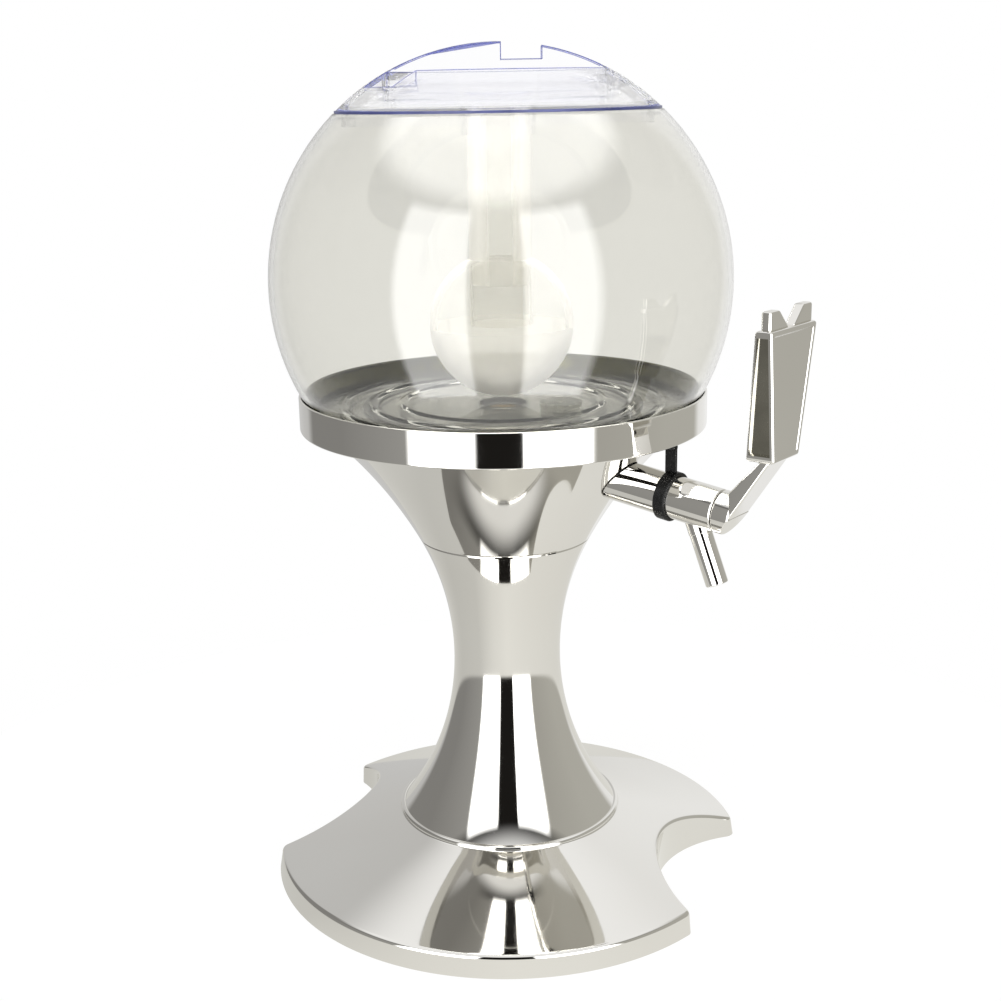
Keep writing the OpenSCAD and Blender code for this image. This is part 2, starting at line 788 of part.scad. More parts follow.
module valve_plug() color("whitesmoke")
  difference() {
    union() {
      at_tap(plug_in_at + plug_gap) cylinder(r = plug_turn_r, h = hub_at - plug_in_at - plug_gap);
      at_tap(snap_at) bead_ring(plug_turn_r, snap_bead);
      at_tap(hub_at - cut) translate([-tang_w / 2, -tang_w / 2, 0])
        cube([tang_w, tang_w, tang_l + cut]);
    }
    at_tap(plug_in_at) cylinder(r = flow_r + edge_step, h = spout_at - plug_in_at + flow_r + edge_step);
    at_tap(spout_at) rotate([0, -90, 0]) cylinder(r = flow_r, h = 2 * plug_r);
    for (s = ring_places)
      at_tap(s - ring_bead - press_gap)
        ring(ring_r - ring_bead - press_gap, plug_r + cut, 2 * ring_bead + 2 * press_gap);
  }

module plug_seals() color("black")
  for (s = ring_places)
    at_tap(s) bead_ring(ring_r, ring_bead);

// Half-plane outside the arm's outer face
module beyond_arm()
  translate(arm_foot) rotate(180 - arm_rise) translate([-globe_r, 0]) square([2 * globe_r, globe_r]);

module handle_lever() color("silver")
  difference() {
    union() {
      at_tap(hub_at) cylinder(r = barrel_r, h = hub_l);
      tap_plane(arm_w)
        polygon([arm_foot, arm_head, arm_head_in, arm_shoulder]);
      translate([-tenon_w / 2, arm_head[0] + edge_step, paddle_z - cut])
        cube([tenon_w, tenon_t, tenon_l + cut]);
    }
    tap_plane(2 * globe_r)
      difference() {
        beyond_arm();
        translate([arm_head[0] - arm_w, paddle_z]) square(2 * arm_w);
      }
    at_tap(hub_at - cut) translate([-tang_w / 2 - press_gap, -tang_w / 2 - press_gap, 0])
      cube([tang_w + 2 * press_gap, tang_w + 2 * press_gap, tang_l + cut + press_gap]);
  }

// Corner bead of the paddle
module bead(x, y, z) translate([x, y, z]) sphere(r = paddle_edge, $fn = 16);

// Wedge between a lower and an upper rectangle, given as [half width, inner y, outer y, z]
module wedge(low, top)
  hull()
    for (level = [low, top], side = [-1, 1]) {
      bead(side * level[0], level[1], level[3]);
      bead(side * level[0], level[2] + paddle_bevel, level[3]);
      bead(side * (level[0] - paddle_bevel), level[2], level[3]);
    }

// Panel cut into one side of the paddle
module side_panel(side)
  hull() {
    panel_edge(side, paddle_low_w / 2, paddle_low_y, paddle_low_t, paddle_z + 2 * panel_frame);
    panel_edge(side, paddle_top_w / 2, paddle_top_y, paddle_top_t,
               paddle_z + paddle_h - 2 * panel_frame);
  }

// Upper or lower edge of a side panel
module panel_edge(side, half_w, inner_y, thick, z)
  translate([side * half_w, inner_y - thick / 2 + paddle_bevel / 2, z])
    cube([2 * panel_depth, thick - 2 * panel_frame - paddle_bevel, panel_slice], center = true);

// Two bumps with a notch between them, drawn as width and height
module crest_outline() {
  half_w = paddle_top_w / 2 - panel_frame;
  for (side = [0, 1])
    mirror([side, 0]) {
      polygon([[crest_notch_w / 2, 0], [half_w, 0], [half_w, crest_h - crest_round],
               [half_w - crest_round, crest_h - crest_round], [half_w - crest_round, crest_h],
               [half_w / 2 + crest_round, crest_h], [half_w / 2, crest_h - crest_round]]);
      for (x = [half_w - crest_round, half_w / 2 + crest_round])
        translate([x, crest_h - crest_round]) circle(r = crest_round, $fn = 32);
    }
}

module handle_paddle() color("silver") {
  difference() {
    wedge([paddle_low_w / 2 - paddle_edge, paddle_low_y - paddle_edge,
           paddle_low_y - paddle_low_t + paddle_edge, paddle_z + paddle_edge],
          [paddle_top_w / 2 - paddle_edge, paddle_top_y - paddle_edge,
           paddle_top_y - paddle_top_t + paddle_edge, paddle_z + paddle_h - paddle_edge]);
    for (side = [-1, 1])
      side_panel(side);
    translate([-tenon_w / 2 - press_gap, arm_head[0] + edge_step - press_gap, paddle_z - cut])
      cube([tenon_w + 2 * press_gap, tenon_t + 2 * press_gap, tenon_l + cut + press_gap]);
  }
  translate([0, paddle_top_y - paddle_top_t / 2 + crest_t / 2, paddle_z + paddle_h - cut])
    rotate([90, 0, 0]) linear_extrude(height = crest_t) crest_outline();
}

// Lid and ice core

// Column that stands on the sector around the dip
module dip_column(width, z)
  rotate([0, 0, dip_angle])
    translate([well_r - cut, -width / 2, z]) cube([well_r, width, globe_r]);

module lid_shell()
  difference() {
    union() {
      difference() {
        intersection() {
          globe_ball(globe_r);
          at_z(lid_z) cylinder(r = globe_r, h = globe_r);
        }
        globe_ball(globe_r - lid_wall);
      }
      intersection() {
        globe_ball(globe_r);
        union() {
          at_z(lid_z) ring(skirt_r - skirt_t, globe_r, lid_rim_t);
          at_z(lid_under_z) cylinder(r = well_r + lid_wall, h = globe_r);
          dip_column(dip_w + 2 * lid_wall, dip_z - lid_wall);
        }
      }
    }
    at_z(well_z) cylinder(r = well_r, h = globe_r);
    dip_column(dip_w, dip_z);
  }

module lid_grip()
  difference() {
    intersection() {
      globe_ball(globe_r);
      translate([-well_r - cut, -grip_w / 2, lid_under_z])
        cube([2 * well_r + 2 * cut, grip_w, globe_r]);
    }
    translate([notch_at - notch_w / 2, -grip_w, lid_top_z - notch_depth])
      cube([notch_w, 2 * grip_w, globe_r]);
  }

// Hollows in the grip, open below, on both sides of the ice tube's socket
module grip_hollows()
  for (side = [0, 180])
    rotate([0, 0, side])
      translate([hollow_in_x, -grip_w / 2 + grip_wall, lid_under_z - cut])
        cube([hollow_out_x - hollow_in_x, grip_w - 2 * grip_wall, hollow_top_z - lid_under_z + cut]);

module lid() color("lavender", 0.4) at_lid() {
  difference() {
    union() {
      lid_shell();
      lid_grip();
    }
    grip_hollows();
  }
  at_z(lid_z - skirt_h) ring(skirt_r - skirt_t, skirt_r, skirt_h + cut);
  at_z(lid_under_z - socket_h) ring(socket_r, socket_r + socket_t, socket_h + cut);
}

module lid_seal() color("white")
  at_z(seal_z) ring(skirt_r + move_gap, mouth_r - edge_step, lid_seal_t);

module ice_tube() color("white", 0.6)
  at_z(neck_z_low) ring(tube_in_r, tube_r, ice_seal_z - neck_z_low);

module ice_ball() color("white", 0.6)
  difference() {
    union() {
      difference() {
        at_z(ball_z) sphere(r = ball_r, $fn = 120);
        at_z(ball_z) sphere(r = ball_r - ice_wall, $fn = 120);
      }
      intersection() {
        at_z(ball_z) sphere(r = ball_r, $fn = 120);
        at_z(neck_z_low) cylinder(r = socket_r + ice_wall, h = ball_r);
      }
    }
    at_z(neck_z_low - cut) cylinder(r = tube_r + press_gap, h = 2 * ball_r);
  }

module ice_seal() color("white")
  at_z(ice_seal_z) ring(tube_in_r, tube_r, ice_seal_t);

base_cover();
base_plate();
ballast_ring();
base_feet();
base_screws();
lower_column();
funnel();
tie_rod();
rod_washer();
rod_nut();
collar_ring();
dish_tray();
globe_gasket();
globe();
rod_insert();
drain_fitting();
drain_gasket();
drain_nut();
drain_elbow();
tap_body();
tap_gasket();
tap_washer();
tap_nut();
spout();
tap_strap();
valve_plug();
plug_seals();
handle_lever();
handle_paddle();
lid();
lid_seal();
ice_tube();
ice_ball();
ice_seal();
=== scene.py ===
"""Draft beer tower: looks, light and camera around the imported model.

Sizes are in millimetres, as in the part's own source, and become metres when a mesh is made.
"""

import json
import math

import bmesh
import bpy
from mathutils import Matrix, Vector

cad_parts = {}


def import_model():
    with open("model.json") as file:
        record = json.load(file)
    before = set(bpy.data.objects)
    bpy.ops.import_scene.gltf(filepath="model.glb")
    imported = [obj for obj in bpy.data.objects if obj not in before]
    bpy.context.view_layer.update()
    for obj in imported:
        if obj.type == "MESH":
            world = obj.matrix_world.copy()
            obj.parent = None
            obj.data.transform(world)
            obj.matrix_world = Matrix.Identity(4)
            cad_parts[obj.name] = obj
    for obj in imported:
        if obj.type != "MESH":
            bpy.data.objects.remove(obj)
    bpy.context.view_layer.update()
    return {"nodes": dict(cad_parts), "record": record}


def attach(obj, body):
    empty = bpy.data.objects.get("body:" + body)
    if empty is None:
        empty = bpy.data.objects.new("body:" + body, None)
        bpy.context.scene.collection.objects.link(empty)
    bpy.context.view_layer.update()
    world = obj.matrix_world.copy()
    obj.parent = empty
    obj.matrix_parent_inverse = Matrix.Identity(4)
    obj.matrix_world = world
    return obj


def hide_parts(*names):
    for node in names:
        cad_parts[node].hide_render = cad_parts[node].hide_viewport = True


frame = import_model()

NODES = frame["nodes"]
MM = 0.001
FULL_TURN, QUARTER_TURN = 2 * math.pi, math.pi / 2
SHARP_ANGLE = math.radians(40)

# Clearances between pieces that move, slip together or are pressed together
MOVE_GAP, SLIP_FIT, PRESS_GAP = 0.35, 0.2, 0.02

# Base
BASE_R, BASE_DRAFT, BASE_EDGE_H, BASE_SLOPE = 115.26, 1.36, 10.8, math.radians(17.2)
BASE_EDGE_R = BASE_R - BASE_DRAFT
BASE_WALL, RIM_GAP, RIM_CUT, BASE_ROUND, CORNER_CUT = 2.5, 0.7, 0.5, 2.0, 3.2
BITE_R, BITE_REACH, BASE_TURN = 56.0, 77.5, math.radians(18)
LIP_IN, LIP_OUT, LIP_H, LIP_FOOT_W, LIP_FOOT_H = 51.2, 54.2, 2.0, 0.7, 0.5
WEB_T, ROD_HOLE_R = 3.0, 4.2
SEAT_Z = BASE_EDGE_H + (BASE_EDGE_R - LIP_OUT) * math.tan(BASE_SLOPE)

# Column and funnel
NECK_H, PARTING_H, FUNNEL_H = 79.0, 60.0, 54.4
NECK_R, COLUMN_ARC, FUNNEL_ARC, SHELL_WALL, SHELL_EDGE = 25.7, 126.0, 213.7, 2.5, 0.5
NECK_Z = SEAT_Z + NECK_H
PARTING_Z = NECK_Z + PARTING_H
FUNNEL_TOP_Z = PARTING_Z + FUNNEL_H

# Collar and dish
COLLAR_R, COLLAR_H, COLLAR_ROUND, CUP_R, CUP_ROUND = 94.2, 15.6, 0.9, 88.6, 0.6
FLANGE_T, FLANGE_W, SEAT_GAP, SEAT_ROUND = 2.0, 8.0, 0.35, 0.25
DISH_FOOT_H, DISH_T, GASKET_T = 2.6, 2.0, 1.0
COLLAR_TOP_Z = FUNNEL_TOP_Z + COLLAR_H
DISH_Z = FUNNEL_TOP_Z + FLANGE_T + DISH_FOOT_H
DISH_TOP_Z = DISH_Z + DISH_T

# Globe, with the boss below its floor and the ripples on it
GLOBE_R, GLOBE_WALL, GLOBE_FLOOR_T, GLOBE_FLAT_R, MOUTH_R = 105.0, 2.2, 2.5, 88.0, 72.8
BOSS_R, BOSS_H, BOSS_CUT, BOSS_CUT_H, BOSS_FOOT = 11.0, 16.0, 0.4, 0.42, 0.6
INSERT_R, BORE_H = 6.5, 13.0
BORE_R = INSERT_R + PRESS_GAP
RIPPLES_AT, RIPPLE_H, RIPPLE_HALF, PLAIN_FLOOR_R = (74, 60, 46), 0.9, 3.2, 30.0
GLOBE_FLOOR_Z = DISH_TOP_Z + GASKET_T
GLOBE_IN_Z = GLOBE_FLOOR_Z + GLOBE_FLOOR_T
GLOBE_Z = GLOBE_FLOOR_Z + math.sqrt(GLOBE_R ** 2 - GLOBE_FLAT_R ** 2)
MOUTH_Z = GLOBE_Z + math.sqrt(GLOBE_R ** 2 - MOUTH_R ** 2)
BOSS_Z = GLOBE_FLOOR_Z - BOSS_H

# Tap
TAP_SLOPE, TAP_H = math.radians(7), 35.3
TAP_Z = PARTING_Z + TAP_H
BARREL_R, BARREL_L, BARREL_EDGE, PLUG_R, TAP_RING_T = 9.5, 51.2, 0.7, 6.5, 0.4
SPOUT_AT, SPOUT_LEAN, SPOUT_R, SPOUT_WALL, SPOUT_L = 36.8, math.radians(21.6), 5.0, 1.4, 37.5
SPOUT_FROM, SPOUT_ROOT_L = 7.0, 14.0
STRAP_AT, STRAP_W, STRAP_T = 26.6, 5.5, 1.5

# Lever
HUB_AT, HUB_L, HUB_EDGE, AXIS_R = BARREL_L + MOVE_GAP, 8.6, 0.8, 0.01
HUB_END = HUB_AT + HUB_L
ARM_W, ARM_L, ARM_RISE, ARM_LOW_T, ARM_TOP_T, ARM_ROUND = 18.0, 33.0, math.radians(56), 7.0, 4.0, 0.9

# Paddle, with the rim of its outer face, the panels in its sides and the crest on top
PADDLE_H, PADDLE_LOW_W, PADDLE_TOP_W, PADDLE_LOW_T, PADDLE_TOP_T = 55.5, 22.0, 39.4, 12.9, 7.6
PADDLE_LEAN, PADDLE_OVER, PADDLE_BEVEL, PADDLE_EDGE = 1.9, 3.0, 0.9, 1.4
RIM_W, RIM_SLOPE, RIM_H = 1.9, 0.8, 0.5
PANEL_DEPTH, PANEL_FRAME, PANEL_SLOPE, PANEL_GAP, PANEL_RAMP = 1.6, 1.0, 0.35, 0.2, 0.5
CREST_H, CREST_T, CREST_IN, CREST_GAP, CREST_TIP, CREST_SINK, CREST_ROUND = 8.2, 4.6, 1.7, 1.5, 1.2, 0.6, 1.1

# Lid: finger well, grip with its notch, and the low place in the well's rim
LID_TURN, LID_TOP_Z, WELL_R, GRIP_W = math.radians(-52.5), GLOBE_Z + GLOBE_R, 48.7, 16.0
LID_SEAL_T, LID_RIM_T, LID_WALL = 1.0, 3.0, 2.2
NOTCH_FROM, NOTCH_TO, NOTCH_DEPTH = 1.5, 19.5, 8.0
DIP_ANGLE, DIP_W, DIP_DEPTH = math.radians(208), 30.0, 6.5

# Lines along the lid's edges, one of which swells: the plastic's blue tint with painted shade
LINE_R, LINE_SINK, LINE_IN, SWELL_R, SWELL_FROM = 0.2, 0.1, 3.0, 0.75, -31.0

# Ice core
TUBE_R, TUBE_ROUND, ICE_WALL, ICE_SEAL_T = 14.25, 0.4, 2.0, 1.2
BALL_R, BALL_GAP, TUBE_IN_BALL, CHANNEL_R = 33.0, 2.6, 9.0, TUBE_R + PRESS_GAP
BALL_Z = GLOBE_IN_Z + BALL_GAP + BALL_R
TUBE_TOP_Z = MOUTH_Z + LID_SEAL_T + LID_RIM_T - LID_WALL - ICE_SEAL_T
TUBE_LOW_Z = BALL_Z + math.sqrt((BALL_R - ICE_WALL) ** 2 - (TUBE_R + SLIP_FIT) ** 2) - TUBE_IN_BALL

# Part of a noise texture's range over which it drives a number or a colour
GRAIN_RANGE = (0.3, 0.7)

# Camera, fitted to the photograph
CAM_AZIMUTH, CAM_REACH, CAM_HEIGHT = math.radians(-52.5), 686.75, 372.92
CAM_PITCH, CAM_ROLL, CAM_YAW, CAM_FOCUS = 0.268257, -0.017603, -0.00282, 1501.99
PHOTO_W, SENSOR_W = 1001, 36.0

# Table top: its radius, where it starts to fade in mirror images, and how much of it is a white page
FLOOR_R, FLOOR_FADE, FLOOR_T, PAGE_SHARE, PAGE_LIGHT = 345.0, 318.0, 6.0, 0.9, 1.06

# Brightness: soft boxes and ceiling in mirror images, both as plain light, and the ceiling in the clear wall
BOX_LIGHT, TOP_LIGHT, PLAIN_LIGHT, GLOW_LIGHT = 4.6, 1.0, 2.5, 5.0

# Heights between which the soft boxes fade, the ceiling light's height, and its reach from none to full
BOX_FADE = (math.radians(36), math.radians(41))
CEILING_RISE, CEILING_FADE = math.radians(86), (math.radians(48), math.radians(34))

# Lamp overhead, in metres and watts
LAMP_SIZE, LAMP_POWER, LAMP_AT = (0.9, 0.7), 1.5, (0.05, 0.05, 1.35)


def cone_z(r):
    return BASE_EDGE_H + (BASE_EDGE_R - r) * math.tan(BASE_SLOPE)


def column_r(z, off=0.0):
    return NECK_R + COLUMN_ARC - math.sqrt((COLUMN_ARC - off) ** 2 - (z - NECK_Z) ** 2)


PARTING_ANGLE = math.asin((PARTING_Z - NECK_Z) / COLUMN_ARC)
FUNNEL_MID_R = column_r(PARTING_Z) + FUNNEL_ARC * math.cos(PARTING_ANGLE)
FUNNEL_MID_Z = PARTING_Z - FUNNEL_ARC * math.sin(PARTING_ANGLE)


def funnel_r(z, off=0.0):
    return FUNNEL_MID_R - math.sqrt((FUNNEL_ARC - off) ** 2 - (z - FUNNEL_MID_Z) ** 2)


ROOT_R = funnel_r(TAP_Z)
TAP_FRAME = Matrix.Translation((0, -ROOT_R, TAP_Z)) @ Matrix.Rotation(QUARTER_TURN + TAP_SLOPE, 4, "X")
SPOUT_FRAME = (Matrix.Translation(TAP_FRAME @ Vector((0, 0, SPOUT_AT)))
               @ Matrix.Rotation(math.pi - SPOUT_LEAN, 4, "X"))


# Lines and outlines

def steps(a, b, count):
    return [a + (b - a) * i / count for i in range(count + 1)]


def ease(share):
    """Share from 0 to 1 with a soft start and end."""
    return 3 * share ** 2 - 2 * share ** 3


def polar(radius, angle):
    return radius * math.cos(angle), radius * math.sin(angle)


def arc(mid, radius, start, end, count):
    """Points of an arc about mid, from the angle start to the angle end."""
    return [(mid[0] + radius * math.cos(a), mid[1] + radius * math.sin(a)) for a in steps(start, end, count)]


def bezier(a, b, c, count):
    a, b, c = Vector(a), Vector(b), Vector(c)
    return [((1 - t) ** 2 * a) + (2 * t * (1 - t) * b) + (t * t * c) for t in steps(0, 1, count)]


def fillet(corners, count):
    """Points of a closed outline whose corners (x, y, radius) are rounded."""
    out = []
    for i, (x, y, radius) in enumerate(corners):
        here = Vector((x, y))
        if radius <= 0:
            out.append((x, y))
            continue
        back = Vector(corners[i - 1][:2]) - here
        ahead = Vector(corners[(i + 1) % len(corners)][:2]) - here
        half = back.angle(ahead) / 2
        reach = min(radius / math.tan(half), 0.49 * back.length, 0.49 * ahead.length)
        radius = reach * math.tan(half)
        mid = here + (back.normalized() + ahead.normalized()).normalized() * radius / math.sin(half)
        first = here + back.normalized() * reach - mid
        last = here + ahead.normalized() * reach - mid
        start = math.atan2(first.y, first.x)
        sweep = (math.atan2(last.y, last.x) - start + math.pi) % FULL_TURN - math.pi
        out += arc(mid, radius, start, start + sweep, count)
    return out


# Mesh helpers

def new_object(name, verts, faces, place=None):
    """Mesh object with smooth faces, sharp edges kept crisp and flat faces kept flat."""
    if place:
        verts = [place @ Vector(v) for v in verts]
    mesh = bpy.data.meshes.new(name)
    mesh.from_pydata([Vector(v) * MM for v in verts], [], faces)
    mesh.validate()
    fix = bmesh.new()
    fix.from_mesh(mesh)
    bmesh.ops.recalc_face_normals(fix, faces=fix.faces)
    fix.to_mesh(mesh)
    fix.free()
    mesh.shade_smooth()
    mesh.set_sharp_from_angle(angle=SHARP_ANGLE)
    obj = bpy.data.objects.new(name, mesh)
    bpy.context.scene.collection.objects.link(obj)
    flat = obj.modifiers.new("flat", "WEIGHTED_NORMAL")
    flat.keep_sharp = True
    return obj


def lathe(name, outline, turns=288, place=None):
    """Closed solid of revolution about Z of a closed outline of (r, z) points."""
    verts, rings = [], []
    for r, z in outline:
        if r < 1e-6:
            rings.append([len(verts)] * turns)
            verts.append((0, 0, z))
            continue
        rings.append(list(range(len(verts), len(verts) + turns)))
        verts += [(x, y, z) for x, y in arc((0, 0), r, 0, FULL_TURN, turns)[:-1]]
    faces = []
    for a, b in zip(rings, rings[1:] + rings[:1]):
        for k in range(turns):
            quad = [a[k], a[(k + 1) % turns], b[(k + 1) % turns], b[k]]
            corners = list(dict.fromkeys(quad))
            if len(corners) > 2:
                faces.append(corners)
    return new_object(name, verts, faces, place)


def skin(name, rings, place=None, closed=True):
    """Surface through closed profiles of the same count, as a ring or, if not closed, with two end caps."""
    verts = [p for ring in rings for p in ring]
    count = len(rings[0])
    faces = []
    for i in range(len(rings) if closed else len(rings) - 1):
        for j in range(count):
            a, b = i * count, (i + 1) % len(rings) * count
            faces.append([a + j, b + j, b + (j + 1) % count, a + (j + 1) % count])
    if not closed:
        faces.append(list(range(count))[::-1])
        faces.append(list(range(len(verts) - count, len(verts))))
    return new_object(name, verts, faces, place)


def turned(name, turns, profile):
    """Ring about the tap's axis, with a closed profile of (r, z) points for each angle's cosine and sine."""
    rings = []
    for a in steps(0, FULL_TURN, turns)[:-1]:
        c, s = math.cos(a), math.sin(a)
        rings.append([(r * c, r * s, z) for r, z in profile(c, s)])
    return skin(name, rings, TAP_FRAME)


def rounded_prism(name, outline, half, radius, place):
    """Prism of an outline of (x, y) points, from -half to half along Z, with all its edges rounded."""
    mesh = bmesh.new()
    low = [mesh.verts.new((x, y, -half)) for x, y in outline]
    top = [mesh.verts.new((x, y, half)) for x, y in outline]
    mesh.faces.new(low[::-1])
    mesh.faces.new(top)
    for i in range(len(outline)):
        j = (i + 1) % len(outline)
        mesh.faces.new((low[i], low[j], top[j], top[i]))
    bmesh.ops.bevel(mesh, geom=mesh.edges, offset=radius, segments=4, profile=0.5, affect="EDGES",
                    clamp_overlap=True)
    mesh.verts.index_update()
    verts = [v.co.copy() for v in mesh.verts]
    faces = [[v.index for v in f.verts] for f in mesh.faces]
    mesh.free()
    return new_object(name, verts, faces, place)


def tubes(name, paths, place):
    """Round lines along paths of (x, y, z, radius) points, as one piece with closed ends."""
    verts, faces, sides = [], [], 8
    for path in paths:
        spots = [Vector(point[:3]) for point in path]
        upright = abs((spots[-1] - spots[0]).normalized().z) > 0.7
        side = Vector((1, 0, 0)) if upright else Vector((0, 0, 1))
        start = len(verts)
        for i, spot in enumerate(spots):
            along = spots[min(i + 1, len(spots) - 1)] - spots[max(i - 1, 0)]
            u = along.cross(side).normalized()
            v = along.cross(u).normalized()
            verts += [spot + (u * math.cos(a) + v * math.sin(a)) * path[i][3]
                      for a in steps(0, FULL_TURN, sides)[:-1]]
        for i in range(len(spots) - 1):
            a, b = start + i * sides, start + (i + 1) * sides
            faces += [[a + k, b + k, b + (k + 1) % sides, a + (k + 1) % sides] for k in range(sides)]
        faces.append(list(range(start, start + sides))[::-1])
        faces.append(list(range(len(verts) - sides, len(verts))))
    return new_object(name, verts, faces, place)


# Node helpers

def feed(tree, value, socket):
    """Sets a socket to a number or colour, or links it to the output of another node."""
    if isinstance(value, (float, tuple)):
        socket.default_value = value
    else:
        tree.links.new(value, socket)


def math_node(tree, operation, first, second):
    node = tree.nodes.new("ShaderNodeMath")
    node.operation = operation
    feed(tree, first, node.inputs[0])
    feed(tree, second, node.inputs[1])
    return node.outputs["Value"]


def map_range(tree, value, source=(0.0, 1.0), target=(0.0, 1.0), smooth=False):
    node = tree.nodes.new("ShaderNodeMapRange")
    node.interpolation_type = "SMOOTHSTEP" if smooth else "LINEAR"
    for name, number in zip(("From Min", "From Max", "To Min", "To Max"), (*source, *target)):
        node.inputs[name].default_value = number
    tree.links.new(value, node.inputs["Value"])
    return node.outputs["Result"]


def blend(tree, fac, first, second):
    """Mix shader of two shader outputs by a socket or a plain number."""
    node = tree.nodes.new("ShaderNodeMixShader")
    feed(tree, fac, node.inputs["Fac"])
    tree.links.new(first, node.inputs[1])
    tree.links.new(second, node.inputs[2])
    return node.outputs["Shader"]


def mix_colour(tree, fac, first, second):
    node = tree.nodes.new("ShaderNodeMix")
    node.data_type = "RGBA"
    for name, value in (("Factor", fac), ("A", first), ("B", second)):
        feed(tree, value, node.inputs[name])
    return node.outputs["Result"]


def shine(tree, kind, colour, strength):
    """Light of a surface (Emission) or of the world (Background)."""
    node = tree.nodes.new("ShaderNode" + kind)
    feed(tree, colour, node.inputs["Color"])
    feed(tree, strength, node.inputs["Strength"])
    return node.outputs[kind]


def noise(tree, scale, detail=3.0, rough=0.55, stretch=None):
    coords = tree.nodes.new("ShaderNodeTexCoord")
    tex = tree.nodes.new("ShaderNodeTexNoise")
    tex.inputs["Scale"].default_value = scale
    tex.inputs["Detail"].default_value = detail
    tex.inputs["Roughness"].default_value = rough
    vector = coords.outputs["Object"]
    if stretch:
        mapping = tree.nodes.new("ShaderNodeMapping")
        mapping.inputs["Scale"].default_value = stretch
        tree.links.new(vector, mapping.inputs["Vector"])
        vector = mapping.outputs["Vector"]
    tree.links.new(vector, tex.inputs["Vector"])
    return tex.outputs["Fac"]


def spread(tree, fac, low, high, socket):
    """Drives a number socket between low and high by a texture."""
    tree.links.new(map_range(tree, fac, GRAIN_RANGE, (low, high)), socket)


def tint(tree, fac, low, high, socket):
    """Drives a colour socket between low and high by a texture."""
    ramp = tree.nodes.new("ShaderNodeValToRGB")
    for element, position, colour in zip(ramp.color_ramp.elements, GRAIN_RANGE, (low, high)):
        element.position = position
        element.color = (*colour, 1)
    tree.links.new(fac, ramp.inputs["Fac"])
    tree.links.new(ramp.outputs["Color"], socket)


def bump(tree, fac, distance, strength, shader):
    node = tree.nodes.new("ShaderNodeBump")
    node.inputs["Distance"].default_value = distance
    node.inputs["Strength"].default_value = strength
    tree.links.new(fac, node.inputs["Height"])
    tree.links.new(node.outputs["Normal"], shader.inputs["Normal"])


# Materials

def material(name):
    mat = bpy.data.materials.new(name)
    mat.use_nodes = True
    tree = mat.node_tree
    return mat, tree, tree.nodes["Principled BSDF"]


def plain(name, low, high, rough, grain, depth, metallic=0.0, stretch=None):
    """Opaque material with a fine grain in its colour, gloss and surface."""
    mat, tree, shader = material(name)
    fac = noise(tree, grain, stretch=stretch)
    tint(tree, fac, low, high, shader.inputs["Base Color"])
    spread(tree, fac, *rough, shader.inputs["Roughness"])
    bump(tree, fac, depth, 0.5, shader)
    shader.inputs["Metallic"].default_value = metallic
    return mat


def plated():
    """Bright plating on a moulding: warm silver, slightly uneven as plated plastic is."""
    mat, tree, shader = material("plated")
    tint(tree, noise(tree, 9.0, 2.0), (0.80, 0.785, 0.75), (0.84, 0.83, 0.80), shader.inputs["Base Color"])
    spread(tree, noise(tree, 60.0, 4.0), 0.03, 0.06, shader.inputs["Roughness"])
    bump(tree, noise(tree, 26.0, 1.0, 0.4), 0.0004, 0.16, shader)
    shader.inputs["Metallic"].default_value = 1.0
    return mat


def pass_through(tree, shader, share, colour, rim=None, fall=(0.45, 0.95)):
    """Lets shadow rays, and a share of all rays, go straight through a clear piece.

    With a rim, the share falls to it over the range fall of how far the surface turns from the eye.
    """
    if rim is not None:
        facing = tree.nodes.new("ShaderNodeLayerWeight")
        facing.inputs["Blend"].default_value = 0.5
        share = map_range(tree, facing.outputs["Facing"], fall, (share, rim), smooth=True)
    path = tree.nodes.new("ShaderNodeLightPath")
    fac = math_node(tree, "MAXIMUM", path.outputs["Is Shadow Ray"], share)
    passing = tree.nodes.new("ShaderNodeBsdfTransparent")
    passing.inputs["Color"].default_value = (*colour, 1)
    whole = blend(tree, fac, shader.outputs["BSDF"], passing.outputs["BSDF"])
    tree.links.new(whole, tree.nodes["Material Output"].inputs["Surface"])


def see_through(name, colour, rough, ior, share, waves, rim=None):
    """Clear moulded plastic, with a faint unevenness in its gloss and surface."""
    mat, tree, shader = material(name)
    shader.inputs["Base Color"].default_value = (*colour, 1)
    shader.inputs["IOR"].default_value = ior
    shader.inputs["Transmission Weight"].default_value = 1.0
    spread(tree, noise(tree, 35.0, 3.0), *rough, shader.inputs["Roughness"])
    bump(tree, noise(tree, 14.0, 1.0, 0.4), 0.0005, waves, shader)
    pass_through(tree, shader, share, colour, rim)
    return mat


def frosted(name, clear, fall):
    """Frosted plastic that lets a share of all rays straight through, and none where the wall turns away."""
    mat, tree, shader = material(name)
    fac = noise(tree, 900.0, 2.0)
    tint(tree, noise(tree, 22.0, 2.0), (0.90, 0.89, 0.86), (0.96, 0.95, 0.93), shader.inputs["Base Color"])
    spread(tree, fac, 0.42, 0.55, shader.inputs["Roughness"])
    bump(tree, fac, 0.0001, 0.3, shader)
    shader.inputs["IOR"].default_value = 1.4
    shader.inputs["Transmission Weight"].default_value = 0.25
    pass_through(tree, shader, clear, (0.945, 0.943, 0.932), 0.0, fall)
    return mat


